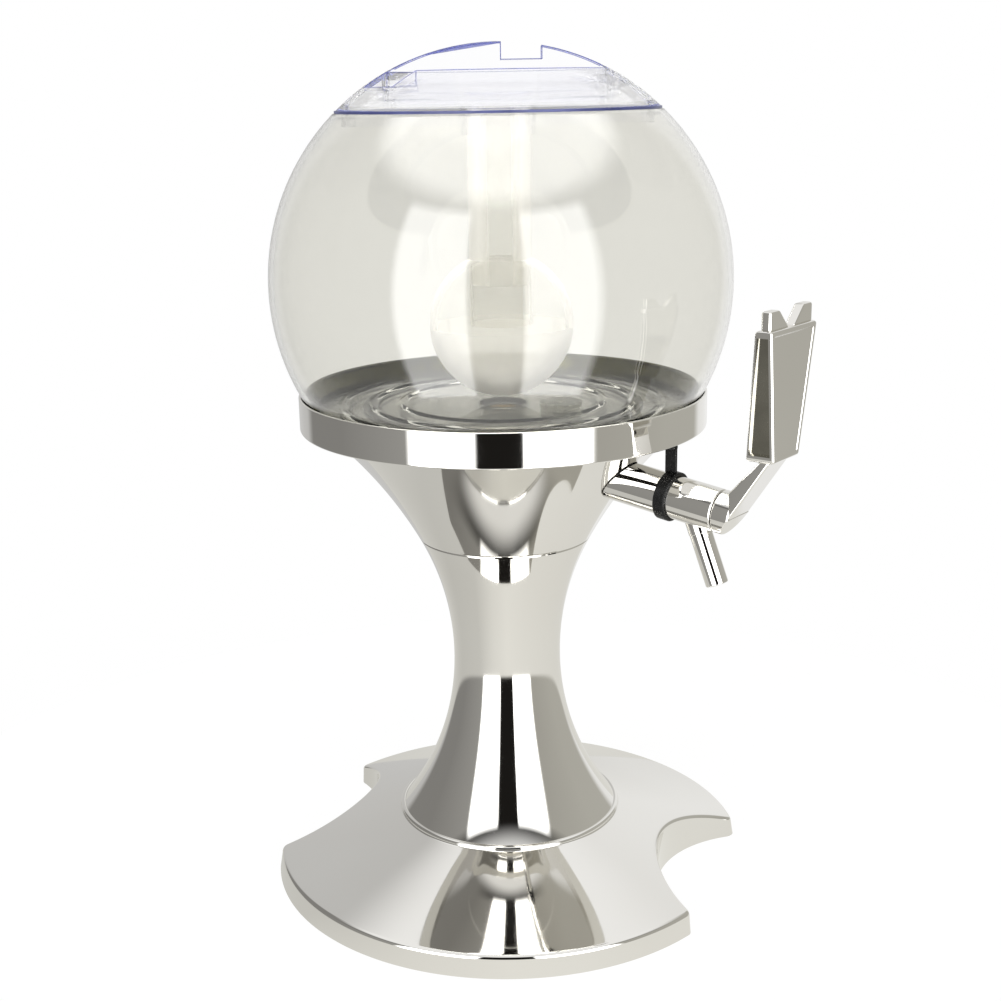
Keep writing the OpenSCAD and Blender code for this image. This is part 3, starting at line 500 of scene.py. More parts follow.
PLATED = plated()
GLOBE_CLEAR = see_through("globe_clear", (0.87, 0.865, 0.83), (0.0, 0.012), 1.68, 0.0, 0.06)
GLOBE_FLOOR = see_through("globe_floor", (0.86, 0.855, 0.81), (0.0, 0.02), 1.1, 0.0, 0.15)
LID_CLEAR = see_through("lid_clear", (0.99, 0.99, 0.995), (0.0, 0.015), 1.06, 0.45, 0.05, 0.1)
# Deep blue lines along the lid's edges: partly the plastic's tint, partly painted shade
LID_EDGE_TINT_AND_SHADE = plain("lid_edge_tint_and_shade", (0.07, 0.085, 0.33), (0.15, 0.165, 0.44), (0.15, 0.3), 120.0, 0.00005)
pass_through(LID_EDGE_TINT_AND_SHADE.node_tree, LID_EDGE_TINT_AND_SHADE.node_tree.nodes["Principled BSDF"], 0.5, (0.85, 0.86, 0.97))
DRAIN = see_through("drain_clear", (0.86, 0.86, 0.83), (0.1, 0.25), 1.3, 0.5, 0.1)
FROSTED = frosted("frosted", 0.82, (0.03, 0.3))
FROSTED_BALL = frosted("frosted_ball", 0.45, (0.05, 0.6))
FROSTED_TOP = frosted("frosted_top", 0.9, (0.4, 1.0))
ICE_CLEAR = see_through("ice_clear", (0.97, 0.97, 0.96), (0.2, 0.3), 1.03, 0.85, 0.05)
# The clear seal at the globe's mouth is made opaque dark navy: painted shade along the seam, tinted blue like
# the lid's edges
SEAL_TINT_AND_SHADE = plain("clear_seal", (0.045, 0.055, 0.18), (0.11, 0.125, 0.32), (0.3, 0.45), 60.0, 0.0001)
# Near-black plating for the dish tray under the globe: painted shade
DISH_PAINTED_SHADE = plain("plated_dish_painted_shade", (0.02, 0.0195, 0.013), (0.12, 0.117, 0.095), (0.03, 0.08), 38.0, 0.0004, 1.0)
# Darker plating for the paddle's sunk side panels: painted shade
PAINTED_SHADE_RECESS = plain("plated_painted_shade_recess", (0.28, 0.27, 0.225), (0.38, 0.365, 0.31), (0.07, 0.13), 60.0, 0.0001, 1.0)
# Near-black plating for the collar's inner wall: painted shade
PAINTED_SHADE_INSIDE = plain("plated_painted_shade_inside", (0.027, 0.025, 0.008), (0.088, 0.083, 0.03), (0.05, 0.1), 22.0, 0.0002, 1.0)
WHITE = plain("white_plastic", (0.84, 0.84, 0.82), (0.88, 0.88, 0.865), (0.22, 0.34), 500.0, 0.00005)
DARK = plain("dark_plastic", (0.02, 0.02, 0.021), (0.03, 0.03, 0.03), (0.4, 0.6), 700.0, 0.0001)
RUBBER = plain("rubber", (0.012, 0.012, 0.012), (0.022, 0.022, 0.022), (0.6, 0.8), 900.0, 0.0001)
NYLON = plain("strap", (0.004, 0.004, 0.004), (0.009, 0.009, 0.009), (0.28, 0.42), 600.0, 0.0001)
NYLON.node_tree.nodes["Principled BSDF"].inputs["Specular IOR Level"].default_value = 0.2
STEEL = plain("steel", (0.6, 0.6, 0.6), (0.72, 0.72, 0.71), (0.2, 0.35), 80.0, 0.00005, 1.0, (1, 1, 12))
BRASS = plain("brass", (0.68, 0.48, 0.18), (0.78, 0.57, 0.25), (0.2, 0.32), 90.0, 0.00005, 1.0, (1, 1, 12))
IRON = plain("cast_iron", (0.09, 0.09, 0.095), (0.15, 0.15, 0.155), (0.55, 0.75), 400.0, 0.0004, 0.6)

LOOKS = {
    "plated": PLATED, "clear": GLOBE_CLEAR, "frosted": FROSTED, "clear_seal": SEAL_TINT_AND_SHADE, "white_plastic": WHITE,
    "dark_plastic": DARK, "rubber": RUBBER, "strap": NYLON, "steel": STEEL, "brass": BRASS, "ballast": IRON,
}


def dress(obj, mat):
    obj.data.materials.clear()
    obj.data.materials.append(mat)


def add(obj, slot, mat, body, *nodes):
    """A piece of the scene: its finish, the body that it rides on and the nodes that it stands for."""
    dress(obj, mat)
    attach(obj, body)
    if nodes:
        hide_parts(*nodes)
    return obj


def also_dress(obj, mat, wanted):
    """Gives one more finish to the faces of a piece for which wanted is true."""
    index = len(obj.data.materials)
    obj.data.materials.append(mat)
    for face in obj.data.polygons:
        if wanted(face):
            face.material_index = index


for part in frame["record"]["subparts"]:
    dress(NODES[part["node"]], LOOKS[part["material_slot"]])
dress(NODES["lid"], LID_CLEAR)
dress(NODES["drain_fitting"], DRAIN)
dress(NODES["drain_gasket"], DRAIN)


# Base cover: one profile for each point of its plan, which has two round bites

def base_plan():
    """Plan of the cover at its edge: points, each with its share of the rim, which is 0 in a bite."""
    far, corner_steps = BITE_REACH + BITE_R, 10
    open_half = math.acos((BASE_EDGE_R ** 2 + far ** 2 - BITE_R ** 2) / (2 * BASE_EDGE_R * far))
    rim_cut, bite_cut = CORNER_CUT / BASE_EDGE_R, CORNER_CUT / BITE_R
    rim_half = QUARTER_TURN - open_half - rim_cut
    bite_half = math.asin(BASE_EDGE_R * math.sin(open_half) / BITE_R) - bite_cut
    plan = []
    for middle in (0, math.pi):
        axis, back = middle + QUARTER_TURN, middle + 3 * QUARTER_TURN
        rim = arc((0, 0), BASE_EDGE_R, middle - rim_half, middle + rim_half, 200)
        bite = arc(polar(far, axis), BITE_R, back + bite_half, back - bite_half, 120)
        enter = bezier(rim[-1], polar(BASE_EDGE_R, axis - open_half), bite[0], corner_steps)
        leave = bezier(bite[-1], polar(BASE_EDGE_R, axis + open_half),
                       polar(BASE_EDGE_R, axis + open_half + rim_cut), corner_steps)
        plan += [(p, 1.0) for p in rim]
        plan += [(p, 1 - i / corner_steps) for i, p in enumerate(enter)][1:-1]
        plan += [(p, 0.0) for p in bite]
        plan += [(p, i / corner_steps) for i, p in enumerate(leave)][1:-1]
    return plan


def base_profile(before, edge, after, on_rim):
    """Closed profile at a point of the plan: rod hole, lip ring, cone, shoulder, edge and inside."""
    along = (after - before).normalized()
    inward = Vector((-along.y, along.x))
    flare = edge.normalized() * BASE_DRAFT * on_rim
    shoulder, inner = edge + inward * BASE_ROUND, edge + inward * BASE_WALL
    lower = BASE_WALL / math.cos(BASE_SLOPE)
    lip_r, foot_r = (LIP_OUT - LIP_IN) / 2, LIP_OUT + LIP_FOOT_W
    edge_z = cone_z(edge.length)
    wall_top, wall_low = edge_z - BASE_ROUND, RIM_GAP + RIM_CUT

    def at(depth, z, share=0.0):
        return (*(edge + inward * depth + flare * share), z)

    def on_ray(ray, r, z):
        return (*(ray.normalized() * r), z)

    line = [(ROD_HOLE_R, SEAT_Z - WEB_T), (ROD_HOLE_R, SEAT_Z), (LIP_IN, SEAT_Z)]
    line += arc((LIP_IN + lip_r, SEAT_Z + LIP_H - lip_r), lip_r, math.pi, 0, 12)
    line += bezier((LIP_OUT, SEAT_Z + LIP_FOOT_H), (LIP_OUT, SEAT_Z), (foot_r, cone_z(foot_r)), 4)
    line += [(r, cone_z(r)) for r in steps(foot_r, shoulder.length, 18)][1:]
    profile = [on_ray(shoulder, r, z) for r, z in line]
    profile += bezier(at(BASE_ROUND, cone_z(shoulder.length)), at(0, edge_z), at(0, wall_top), 8)[1:]
    profile += [at(0, wall_top + (wall_low - wall_top) * t, t) for t in (0.5, 1.0)]
    profile += [at(RIM_CUT, RIM_GAP, 1.0), at(BASE_WALL, RIM_GAP, 0.5)]
    profile += [on_ray(inner, r, cone_z(r) - lower) for r in steps(inner.length, LIP_IN, 6)]
    profile.append(on_ray(shoulder, LIP_IN, SEAT_Z - WEB_T))
    return profile


def base_piece():
    plan = [(Vector(p), on_rim) for p, on_rim in base_plan()]
    rings = [base_profile(plan[i - 1][0], edge, plan[(i + 1) % len(plan)][0], on_rim)
             for i, (edge, on_rim) in enumerate(plan)]
    return skin("base_shell", rings, Matrix.Rotation(BASE_TURN, 4, "Z"))


add(base_piece(), "plated", PLATED, "stand", "base_cover")


# Pedestal

def column_piece():
    z_low, z_top, edge = SEAT_Z, PARTING_Z, SHELL_EDGE
    outer = [(column_r(z), z) for z in steps(z_low + edge, z_top - edge, 90)]
    inner = [(column_r(z, -SHELL_WALL), z) for z in steps(z_top, z_low, 40)]
    outline = [(column_r(z_low) - edge, z_low)] + outer + [(column_r(z_top) - edge, z_top)] + inner
    return lathe("column_shell", outline)


def funnel_piece():
    z_low, z_top, edge = PARTING_Z, FUNNEL_TOP_Z, SHELL_EDGE
    outer = [(funnel_r(z), z) for z in steps(z_low + edge, z_top, 80)]
    inner = [(funnel_r(z, -SHELL_WALL), z) for z in steps(z_top, z_low, 40)]
    return lathe("funnel_shell", [(funnel_r(z_low) - edge, z_low)] + outer + inner)


def collar_piece():
    """Band with a flange on the funnel, a cup for the dish and a round seat for the globe."""
    z_low, z_flange, z_top = FUNNEL_TOP_Z, FUNNEL_TOP_Z + FLANGE_T, COLLAR_TOP_Z
    flange_r, seat_r = funnel_r(z_low) - FLANGE_W, GLOBE_R + SEAT_GAP
    z_seat = GLOBE_Z - math.sqrt(seat_r ** 2 - CUP_R ** 2)
    seat = [(math.sqrt(seat_r ** 2 - (GLOBE_Z - z) ** 2), z) for z in steps(z_seat, z_top, 16)]
    corners = [(seat[-1][0], z_top, SEAT_ROUND), (COLLAR_R, z_top, COLLAR_ROUND),
               (COLLAR_R, z_low, COLLAR_ROUND), (flange_r, z_low, 0), (flange_r, z_flange, 0),
               (CUP_R, z_flange, CUP_ROUND), (CUP_R, z_seat, 0)]
    return lathe("collar_band", fillet(corners, 8) + seat[1:-1])


def faces_axis(face):
    """Whether a face of the collar looks to its axis; these faces are painted in shade."""
    outward = face.center.xy.dot(face.normal.xy)
    return outward < -0.2 * face.center.xy.length


def dish_piece():
    hole_r, dish_r = BOSS_R + SLIP_FIT, CUP_R - SLIP_FIT
    hole_round, low_round, top_round = 0.3, 0.4, 0.6
    corners = [(hole_r, DISH_Z, hole_round), (dish_r, DISH_Z, low_round), (dish_r, DISH_TOP_Z, top_round),
               (hole_r, DISH_TOP_Z, hole_round)]
    return lathe("dish_plate", fillet(corners, 5))


add(column_piece(), "plated", PLATED, "stand", "lower_column")
add(funnel_piece(), "plated", PLATED, "stand", "funnel")
collar = add(collar_piece(), "plated", PLATED, "stand", "collar_ring")
# The collar's inner wall gets near-black plating: painted shade
also_dress(collar, PAINTED_SHADE_INSIDE, faces_axis)
# The dish tray gets near-black plating: painted shade
add(dish_piece(), "plated", DISH_PAINTED_SHADE, "stand", "dish_tray")


# Globe with its rippled floor and boss

def globe_piece():
    """Outline from the boss up the outside to the mouth, and down the inside to the rippled floor."""
    mid, inner_r, bore_z = (0, GLOBE_Z), GLOBE_R - GLOBE_WALL, BOSS_Z + BORE_H
    # What the arcs leave out, as angles and as lengths, for the mouth's lip and for the bends at the floor
    lip_angle, bend_out_angle, bend_in_angle = 0.003, 0.008, 0.015
    lip_out, lip_in, bend_out, bend_in = 0.5, 0.4, 1.0, 1.2
    low, high = math.asin((GLOBE_FLOOR_Z - GLOBE_Z) / GLOBE_R), math.asin((MOUTH_Z - GLOBE_Z) / GLOBE_R)
    low_in, high_in = math.asin((GLOBE_IN_Z - GLOBE_Z) / inner_r), math.asin((MOUTH_Z - GLOBE_Z) / inner_r)
    inside = arc(mid, inner_r, high_in - lip_angle, low_in + bend_in_angle, 84)
    outline = [(BORE_R, bore_z), (BORE_R, BOSS_Z), (BOSS_R - BOSS_CUT, BOSS_Z), (BOSS_R, BOSS_Z + BOSS_CUT_H),
               (BOSS_R, GLOBE_FLOOR_Z - BOSS_FOOT), (BOSS_R + BOSS_FOOT, GLOBE_FLOOR_Z),
               (GLOBE_FLAT_R - bend_out, GLOBE_FLOOR_Z)]
    outline += arc(mid, GLOBE_R, low + bend_out_angle, high - lip_angle, 84)
    outline += [(MOUTH_R - lip_out, MOUTH_Z), (inside[0][0] + lip_in, MOUTH_Z)] + inside
    outline.append((inside[-1][0] - bend_in, GLOBE_IN_Z))
    for middle in RIPPLES_AT:
        outline += [(middle - x, GLOBE_IN_Z + RIPPLE_H * (1 + math.cos(math.pi * x / RIPPLE_HALF)) / 2)
                    for x in steps(-RIPPLE_HALF, RIPPLE_HALF, 12)]
    outline += [(PLAIN_FLOOR_R, GLOBE_IN_Z), (0, GLOBE_IN_Z), (0, bore_z)]
    return lathe("globe_shell", outline, 240)


globe = add(globe_piece(), "clear", GLOBE_CLEAR, "stand", "globe")
also_dress(globe, GLOBE_FLOOR, lambda face: face.center.z < COLLAR_TOP_Z * MM)


# Tap barrel, spout and strap

def root_at(x, y, off):
    """Distance along the tap at which a line beside its axis is off away from the funnel."""
    reach, halvings = 30.0, 40
    low, high = -reach, reach
    for _ in range(halvings):
        mid = (low + high) / 2
        spot = TAP_FRAME @ Vector((x, y, mid))
        outside = math.hypot(spot.x, spot.y) > funnel_r(spot.z, off) or spot.z < PARTING_Z
        low, high = (low, mid) if outside else (mid, high)
    return (low + high) / 2


def tap_ring_piece():
    bore_gap, set_back = 0.3, 0.5
    inner, outer = PLUG_R + bore_gap, BARREL_R - set_back
    corners = [(inner, 0), (outer, 0), (outer, TAP_RING_T), (inner, TAP_RING_T)]
    return turned("tap_ring", 96, lambda c, s: [(r, root_at(r * c, r * s, off)) for r, off in corners])


def barrel_piece():
    """Barrel that ends on the funnel's surface, with only the squeezed ring between them."""
    edge, bore_cut, root_cut, root_cut_l = BARREL_EDGE, 0.3, 0.2, 0.25

    def profile(c, s):
        root = root_at(BARREL_R * c, BARREL_R * s, TAP_RING_T)
        rows = [(PLUG_R, root), (BARREL_R - root_cut, root), (BARREL_R, root + root_cut_l)]
        rows += [(BARREL_R, root + (BARREL_L - edge - root) * t) for t in (0.2, 0.5, 0.8)]
        rows += arc((BARREL_R - edge, BARREL_L - edge), edge, 0, QUARTER_TURN, 6)
        return rows + [(PLUG_R + bore_cut, BARREL_L), (PLUG_R, BARREL_L - bore_cut)]

    return turned("tap_barrel", 144, profile)


def spout_piece():
    """Pipe whose upper end, the root, is a little wider."""
    inner, root_r = SPOUT_R - SPOUT_WALL, SPOUT_R + SLIP_FIT
    root_round, foot_round, end_round, bore_round = 0.15, 0.1, 0.6, 0.5
    corners = [(inner, SPOUT_FROM, 0), (root_r, SPOUT_FROM, 0),
               (root_r, SPOUT_ROOT_L - SLIP_FIT, root_round), (SPOUT_R, SPOUT_ROOT_L, foot_round),
               (SPOUT_R, SPOUT_L, end_round), (inner, SPOUT_L, bore_round)]
    return lathe("tap_spout", fillet(corners, 6), 96, SPOUT_FRAME)


def strap_piece():
    """Loop round the barrel, the tail above it and the pad at the tail's top, below the collar."""
    half, loop_gap, top_gap = STRAP_W / 2, 0.6, 0.05
    inner_round, outer_round, tail_round = 0.3, 0.5, 0.4
    inner, outer, low, high = BARREL_R + PRESS_GAP, BARREL_R + STRAP_T, STRAP_AT - half, STRAP_AT + half
    section = [(inner, low, inner_round), (outer, low, outer_round), (outer, high, outer_round),
               (inner, high, inner_round)]
    loop = lathe("strap_loop", fillet(section, 4), 128, TAP_FRAME)
    spot = TAP_FRAME @ Vector((0, 0, STRAP_AT))
    tail_low, tail_top = spot.z + BARREL_R + loop_gap, FUNNEL_TOP_Z - top_gap
    half_t, half_h = STRAP_T / 2, (tail_top - tail_low) / 2
    outline = [(-half_t, -half_h), (half_t, -half_h), (half_t, half_h), (-half_t, half_h)]
    place = Matrix.Translation((0, spot.y, (tail_low + tail_top) / 2)) @ Matrix.Rotation(QUARTER_TURN, 4, "X")
    tail = rounded_prism("strap_tail", outline, half, tail_round, place)
    pad_low = FUNNEL_TOP_Z - STRAP_T
    disc = [(0, pad_low, 0), (half, pad_low, outer_round), (half, FUNNEL_TOP_Z, 0), (0, FUNNEL_TOP_Z, 0)]
    pad = lathe("strap_pad", fillet(disc, 4), 48, Matrix.Translation((0, spot.y, 0)))
    return loop, tail, pad


add(barrel_piece(), "plated", PLATED, "stand", "tap_body")
add(tap_ring_piece(), "rubber", RUBBER, "stand", "tap_gasket")
add(spout_piece(), "plated", PLATED, "stand", "spout")
strap_loop, strap_tail, strap_pad = strap_piece()
add(strap_loop, "strap", NYLON, "stand", "tap_strap")
add(strap_tail, "strap", NYLON, "stand")
add(strap_pad, "strap", NYLON, "stand")


# Ice core

def tube_piece():
    """Tube with its frozen filling."""
    corners = [(0, TUBE_LOW_Z, 0), (TUBE_R, TUBE_LOW_Z, TUBE_ROUND), (TUBE_R, TUBE_TOP_Z, TUBE_ROUND),
               (0, TUBE_TOP_Z, 0)]
    return lathe("ice_core_tube", fillet(corners, 4), 128)


def ball_piece():
    """Ball with its frozen filling, which leaves a channel open below the tube down to the ball's middle."""
    outer = arc((0, BALL_Z), BALL_R, -QUARTER_TURN, math.acos(CHANNEL_R / BALL_R), 90)
    return lathe("ice_core_ball", outer + [(CHANNEL_R, BALL_Z), (0, BALL_Z)], 160)


def in_channel(face):
    """Whether a face of the ball is part of the channel's wall."""
    return face.center.xy.length < TUBE_R * MM and abs(face.normal.z) < 0.1


tube = add(tube_piece(), "frosted", FROSTED, "lid", "ice_tube")
also_dress(tube, ICE_CLEAR, lambda face: face.normal.z < -0.5)
ball = add(ball_piece(), "frosted", FROSTED_BALL, "lid", "ice_ball")
also_dress(ball, FROSTED_TOP, lambda face: face.center.z > (BALL_Z - 0.1) * MM)
also_dress(ball, FROSTED, in_channel)


# Lid: its polished edges, which show deep blue in clear plastic, drawn as lines that are partly the plastic's
# tint and partly painted shade

def lid_edge_piece():
    """Lines along the edges of the grip and its notch, of the finger well and of the low place in its rim,
    painted in blue tint and shade.
    """
    notch_z, sides = LID_TOP_Z - NOTCH_DEPTH + LINE_R, (-GRIP_W / 2, GRIP_W / 2)
    dip_z = GLOBE_Z + math.sqrt(GLOBE_R ** 2 - WELL_R ** 2) - DIP_DEPTH
    dip_r = math.sqrt(GLOBE_R ** 2 - (dip_z - GLOBE_Z) ** 2)

    def on_dome(x, y, r=LINE_R):
        return x, y, GLOBE_Z + math.sqrt(GLOBE_R ** 2 - x * x - y * y) - r - LINE_SINK, r

    def in_notch(x, y):
        return x, y, notch_z, LINE_R

    def in_dip(x, y):
        return x, y, dip_z - LINE_R, LINE_R

    def swell(x):
        share = (x - SWELL_FROM) / (NOTCH_FROM - SWELL_FROM)
        return LINE_R + SWELL_R * math.sin(math.pi * share) ** 0.7 if 0 < share < 1 else LINE_R

    paths = []
    for y in sides:
        paths.append([on_dome(x, y, swell(x) if y < 0 else LINE_R)
                      for x in steps(LINE_IN - WELL_R, NOTCH_FROM, 60)])
        paths.append([on_dome(x, y) for x in steps(NOTCH_TO, WELL_R - LINE_IN, 30)])
        paths.append([in_notch(x, y) for x in (NOTCH_FROM, NOTCH_TO)])
        paths += [[in_notch(x, y), on_dome(x, y)] for x in (NOTCH_FROM, NOTCH_TO)]
    for x in (NOTCH_FROM, NOTCH_TO):
        paths.append([on_dome(x, y) for y in steps(*sides, 8)])
        paths.append([in_notch(x, y) for y in sides])
    half = math.asin(DIP_W / 2 / WELL_R)
    well = arc((0, 0), WELL_R, DIP_ANGLE + half, DIP_ANGLE + FULL_TURN - half, 96)
    paths.append([on_dome(x, y) for x, y in well])
    dip = []
    for r in (WELL_R, dip_r):
        reach = math.asin(DIP_W / 2 / r)
        dip.append([in_dip(x, y) for x, y in arc((0, 0), r, -reach, reach, 16)])
    for y in (-DIP_W / 2, DIP_W / 2):
        near, far = math.sqrt(WELL_R ** 2 - y * y), math.sqrt(dip_r ** 2 - y * y)
        dip.append([on_dome(x, y) for x in steps(near, far, 10)])
        dip.append([in_dip(near, y), on_dome(near, y)])
    turn = Matrix.Rotation(DIP_ANGLE, 4, "Z")
    paths += [[(*(turn @ Vector(point[:3])), point[3]) for point in path] for path in dip]
    return tubes("lid_edges", paths, Matrix.Rotation(LID_TURN, 4, "Z"))


add(lid_edge_piece(), "clear", LID_EDGE_TINT_AND_SHADE, "lid")


# Lever and paddle

def hub_piece():
    """Hub whose outer end is cut by the plane of the arm's outer face."""
    lean, edge_r = 1 / math.tan(ARM_RISE + TAP_SLOPE), BARREL_R - HUB_EDGE

    def profile(c, s):
        def end(r):
            return HUB_END + min(0, lean * r * s)

        rows = [(AXIS_R, HUB_AT)] + arc((edge_r, HUB_AT + HUB_EDGE), HUB_EDGE, -QUARTER_TURN, 0, 5)
        rows.append((BARREL_R, (HUB_AT + end(BARREL_R)) / 2))
        rows += [(r, end(r) + z) for r, z in arc((edge_r, -HUB_EDGE), HUB_EDGE, 0, QUARTER_TURN, 5)]
        return rows + [(AXIS_R, HUB_END)]

    return turned("lever_hub", 128, profile)


def arm_piece():
    """Arm that rises from the hub's end, and the place of its head, where the paddle starts."""
    foot = TAP_FRAME @ Vector((0, 0, HUB_END))
    along = Vector((-math.cos(ARM_RISE), math.sin(ARM_RISE)))
    inward = Vector((math.sin(ARM_RISE), math.cos(ARM_RISE)))
    base = foot.yz
    head = base + along * ARM_L
    shoulder = base + along * BARREL_R + inward * ARM_LOW_T
    outline = [base, head, head + Vector((ARM_TOP_T / math.sin(ARM_RISE), 0)), shoulder]
    upright = Matrix(((0, 0, 1, 0), (1, 0, 0, 0), (0, 1, 0, 0), (0, 0, 0, 1)))
    return rounded_prism("lever_arm", outline, ARM_W / 2, ARM_ROUND, upright), head


def paddle_piece(head):
    """Wedge with a rim round its outer face and a sunk panel in each side, and the two bumps of its crest."""
    z_low = head.y
    r_out_low = -head.x + PADDLE_OVER
    r_in_low = r_out_low - PADDLE_LOW_T
    r_in_top = r_in_low + PADDLE_LOW_T - PADDLE_TOP_T + PADDLE_LEAN
    r_out_top = r_in_top + PADDLE_TOP_T

    def section(h, inset, depth, sink):
        """Closed section at the height h, less an inset, with side panels of a depth and the face sunk."""
        t = h / PADDLE_H
        w = (PADDLE_LOW_W + (PADDLE_TOP_W - PADDLE_LOW_W) * t) / 2 - inset
        r_in = r_in_low + (r_in_top - r_in_low) * t + inset
        r_out = r_out_low + (r_out_top - r_out_low) * t - inset
        a, b, slope = r_in + PANEL_FRAME, r_out - PADDLE_BEVEL - PANEL_FRAME, PANEL_SLOPE * depth
        side = [(w, r_in, PADDLE_BEVEL), (w, a, 0), (w - depth, a + slope, 0), (w - depth, b - slope, 0),
                (w, b, 0), (w, r_out, PADDLE_BEVEL)]
        side += [(w - RIM_W - RIM_SLOPE * k, r_out - sink * ease(k), 0) for k in steps(0, 1, 4)]
        corners = side + [(-x, y, r) for x, y, r in side[::-1]]
        return [(x, -y, z_low + h) for x, y in fillet(corners, 6)]

    panel = RIM_W + RIM_SLOPE + PANEL_GAP
    panel_full = panel + PANEL_RAMP
    edge = arc((PADDLE_EDGE, PADDLE_EDGE), PADDLE_EDGE, math.pi, 3 * QUARTER_TURN, 5)
    end = [(h, inset, 0, 0) for h, inset in edge]
    end += [(RIM_W + RIM_SLOPE * k, 0, 0, RIM_H * ease(k)) for k in steps(0, 1, 4)]
    end += [(panel, 0, 0, RIM_H), (panel_full, 0, PANEL_DEPTH, RIM_H)]
    levels = end + [(h, 0, PANEL_DEPTH, RIM_H) for h in steps(panel_full, PADDLE_H - panel_full, 6)[1:-1]]
    levels += [(PADDLE_H - h, *rest) for h, *rest in end[::-1]]
    pieces = [skin("paddle_body", [section(*level) for level in levels], closed=False)]
    half_w = PADDLE_TOP_W / 2 - CREST_IN
    tip = half_w / 2 + CREST_TIP
    upright = Matrix(((1, 0, 0, 0), (0, 0, 1, 0), (0, 1, 0, 0), (0, 0, 0, 1)))
    place = Matrix.Translation((0, -(r_in_top + r_out_top) / 2, z_low + PADDLE_H - CREST_SINK)) @ upright
    for name, side in (("paddle_bump_right", 1), ("paddle_bump_left", -1)):
        outline = [(side * CREST_GAP, 0), (side * half_w, 0), (side * half_w, CREST_H), (side * tip, CREST_H)]
        pieces.append(rounded_prism(name, outline, CREST_T / 2, CREST_ROUND, place))
    return pieces


def in_panel(face, z_low):
    """Whether a face of the paddle is part of the sunk panel in one of its sides, which is painted in shade.
    """
    share = (face.center.z / MM - z_low) / PADDLE_H
    wide = (PADDLE_LOW_W + (PADDLE_TOP_W - PADDLE_LOW_W) * share) / 2
    return abs(face.normal.x) > 0.9 and abs(face.center.x) / MM < wide - 0.6 * PANEL_DEPTH


add(hub_piece(), "plated", PLATED, "handle", "handle_lever")
lever_arm, arm_head = arm_piece()
add(lever_arm, "plated", PLATED, "handle")
paddle, *crest = paddle_piece(arm_head)
add(paddle, "plated", PLATED, "handle", "handle_paddle")
# The sunk side panels get darker plating: painted shade
also_dress(paddle, PAINTED_SHADE_RECESS, lambda face: in_panel(face, arm_head.y))
for crest_bump in crest:
    add(crest_bump, "plated", PLATED, "handle")


# Camera, floor and light

def camera():
    a = CAM_AZIMUTH
    right = Vector((math.cos(a), math.sin(a), 0))
    away = Vector((-math.sin(a), math.cos(a), 0))
    spot = away * -CAM_REACH + Vector((0, 0, CAM_HEIGHT))
    side = right * math.cos(CAM_YAW) - away * math.sin(CAM_YAW)
    ahead = right * math.sin(CAM_YAW) + away * math.cos(CAM_YAW)
    forward = ahead * math.cos(CAM_PITCH) - Vector((0, 0, math.sin(CAM_PITCH)))
    up = ahead * math.sin(CAM_PITCH) + Vector((0, 0, math.cos(CAM_PITCH)))
    rolled = side * math.cos(CAM_ROLL) + up * math.sin(CAM_ROLL)
    top = up * math.cos(CAM_ROLL) - side * math.sin(CAM_ROLL)
    data = bpy.data.cameras.new("camera")
    data.sensor_width = SENSOR_W
    data.lens = CAM_FOCUS * SENSOR_W / PHOTO_W
    obj = bpy.data.objects.new("camera", data)
    axes = Matrix((rolled, top, -forward)).transposed().to_4x4()
    obj.matrix_world = Matrix.Translation(spot * MM) @ axes
    bpy.context.scene.collection.objects.link(obj)
    bpy.context.scene.camera = obj


def seen(tree):
    """Outputs of a light path node, and 1 for rays straight from the camera or through clear plastic."""
    path = tree.nodes.new("ShaderNodeLightPath").outputs
    return path, math_node(tree, "MAXIMUM", path["Is Camera Ray"], path["Is Transmission Ray"])


def bearing(tree, vector):
    """A direction turned so that X points to the camera, its Z, and the angle round the object as 0 to 1."""
    turn = tree.nodes.new("ShaderNodeVectorRotate")
    turn.rotation_type = "Z_AXIS"
    turn.inputs["Angle"].default_value = QUARTER_TURN - CAM_AZIMUTH
    tree.links.new(vector, turn.inputs["Vector"])
    split = tree.nodes.new("ShaderNodeSeparateXYZ")
    tree.links.new(turn.outputs["Vector"], split.inputs["Vector"])
    angle = math_node(tree, "ARCTAN2", split.outputs["Y"], split.outputs["X"])
    return turn.outputs["Vector"], split.outputs["Z"], map_range(tree, angle, (-math.pi, math.pi))


def ramp_node(tree, share, unit, stops):
    """Ramp over the angle round the object, 0 at the camera and positive to its right, in parts of unit."""
    node = tree.nodes.new("ShaderNodeValToRGB")
    ramp = node.color_ramp
    while len(ramp.elements) < len(stops):
        ramp.elements.new(0.5)
    for element, (angle, colour) in zip(ramp.elements, stops):
        element.position = (angle + 180) / 360
        element.color = (*[c / unit for c in colour], 1)
    tree.links.new(share, node.inputs["Fac"])
    return node.outputs["Color"]


def vector_math(tree, operation, vector):
    node = tree.nodes.new("ShaderNodeVectorMath")
    node.operation = operation
    tree.links.new(vector, node.inputs[0])
    return node


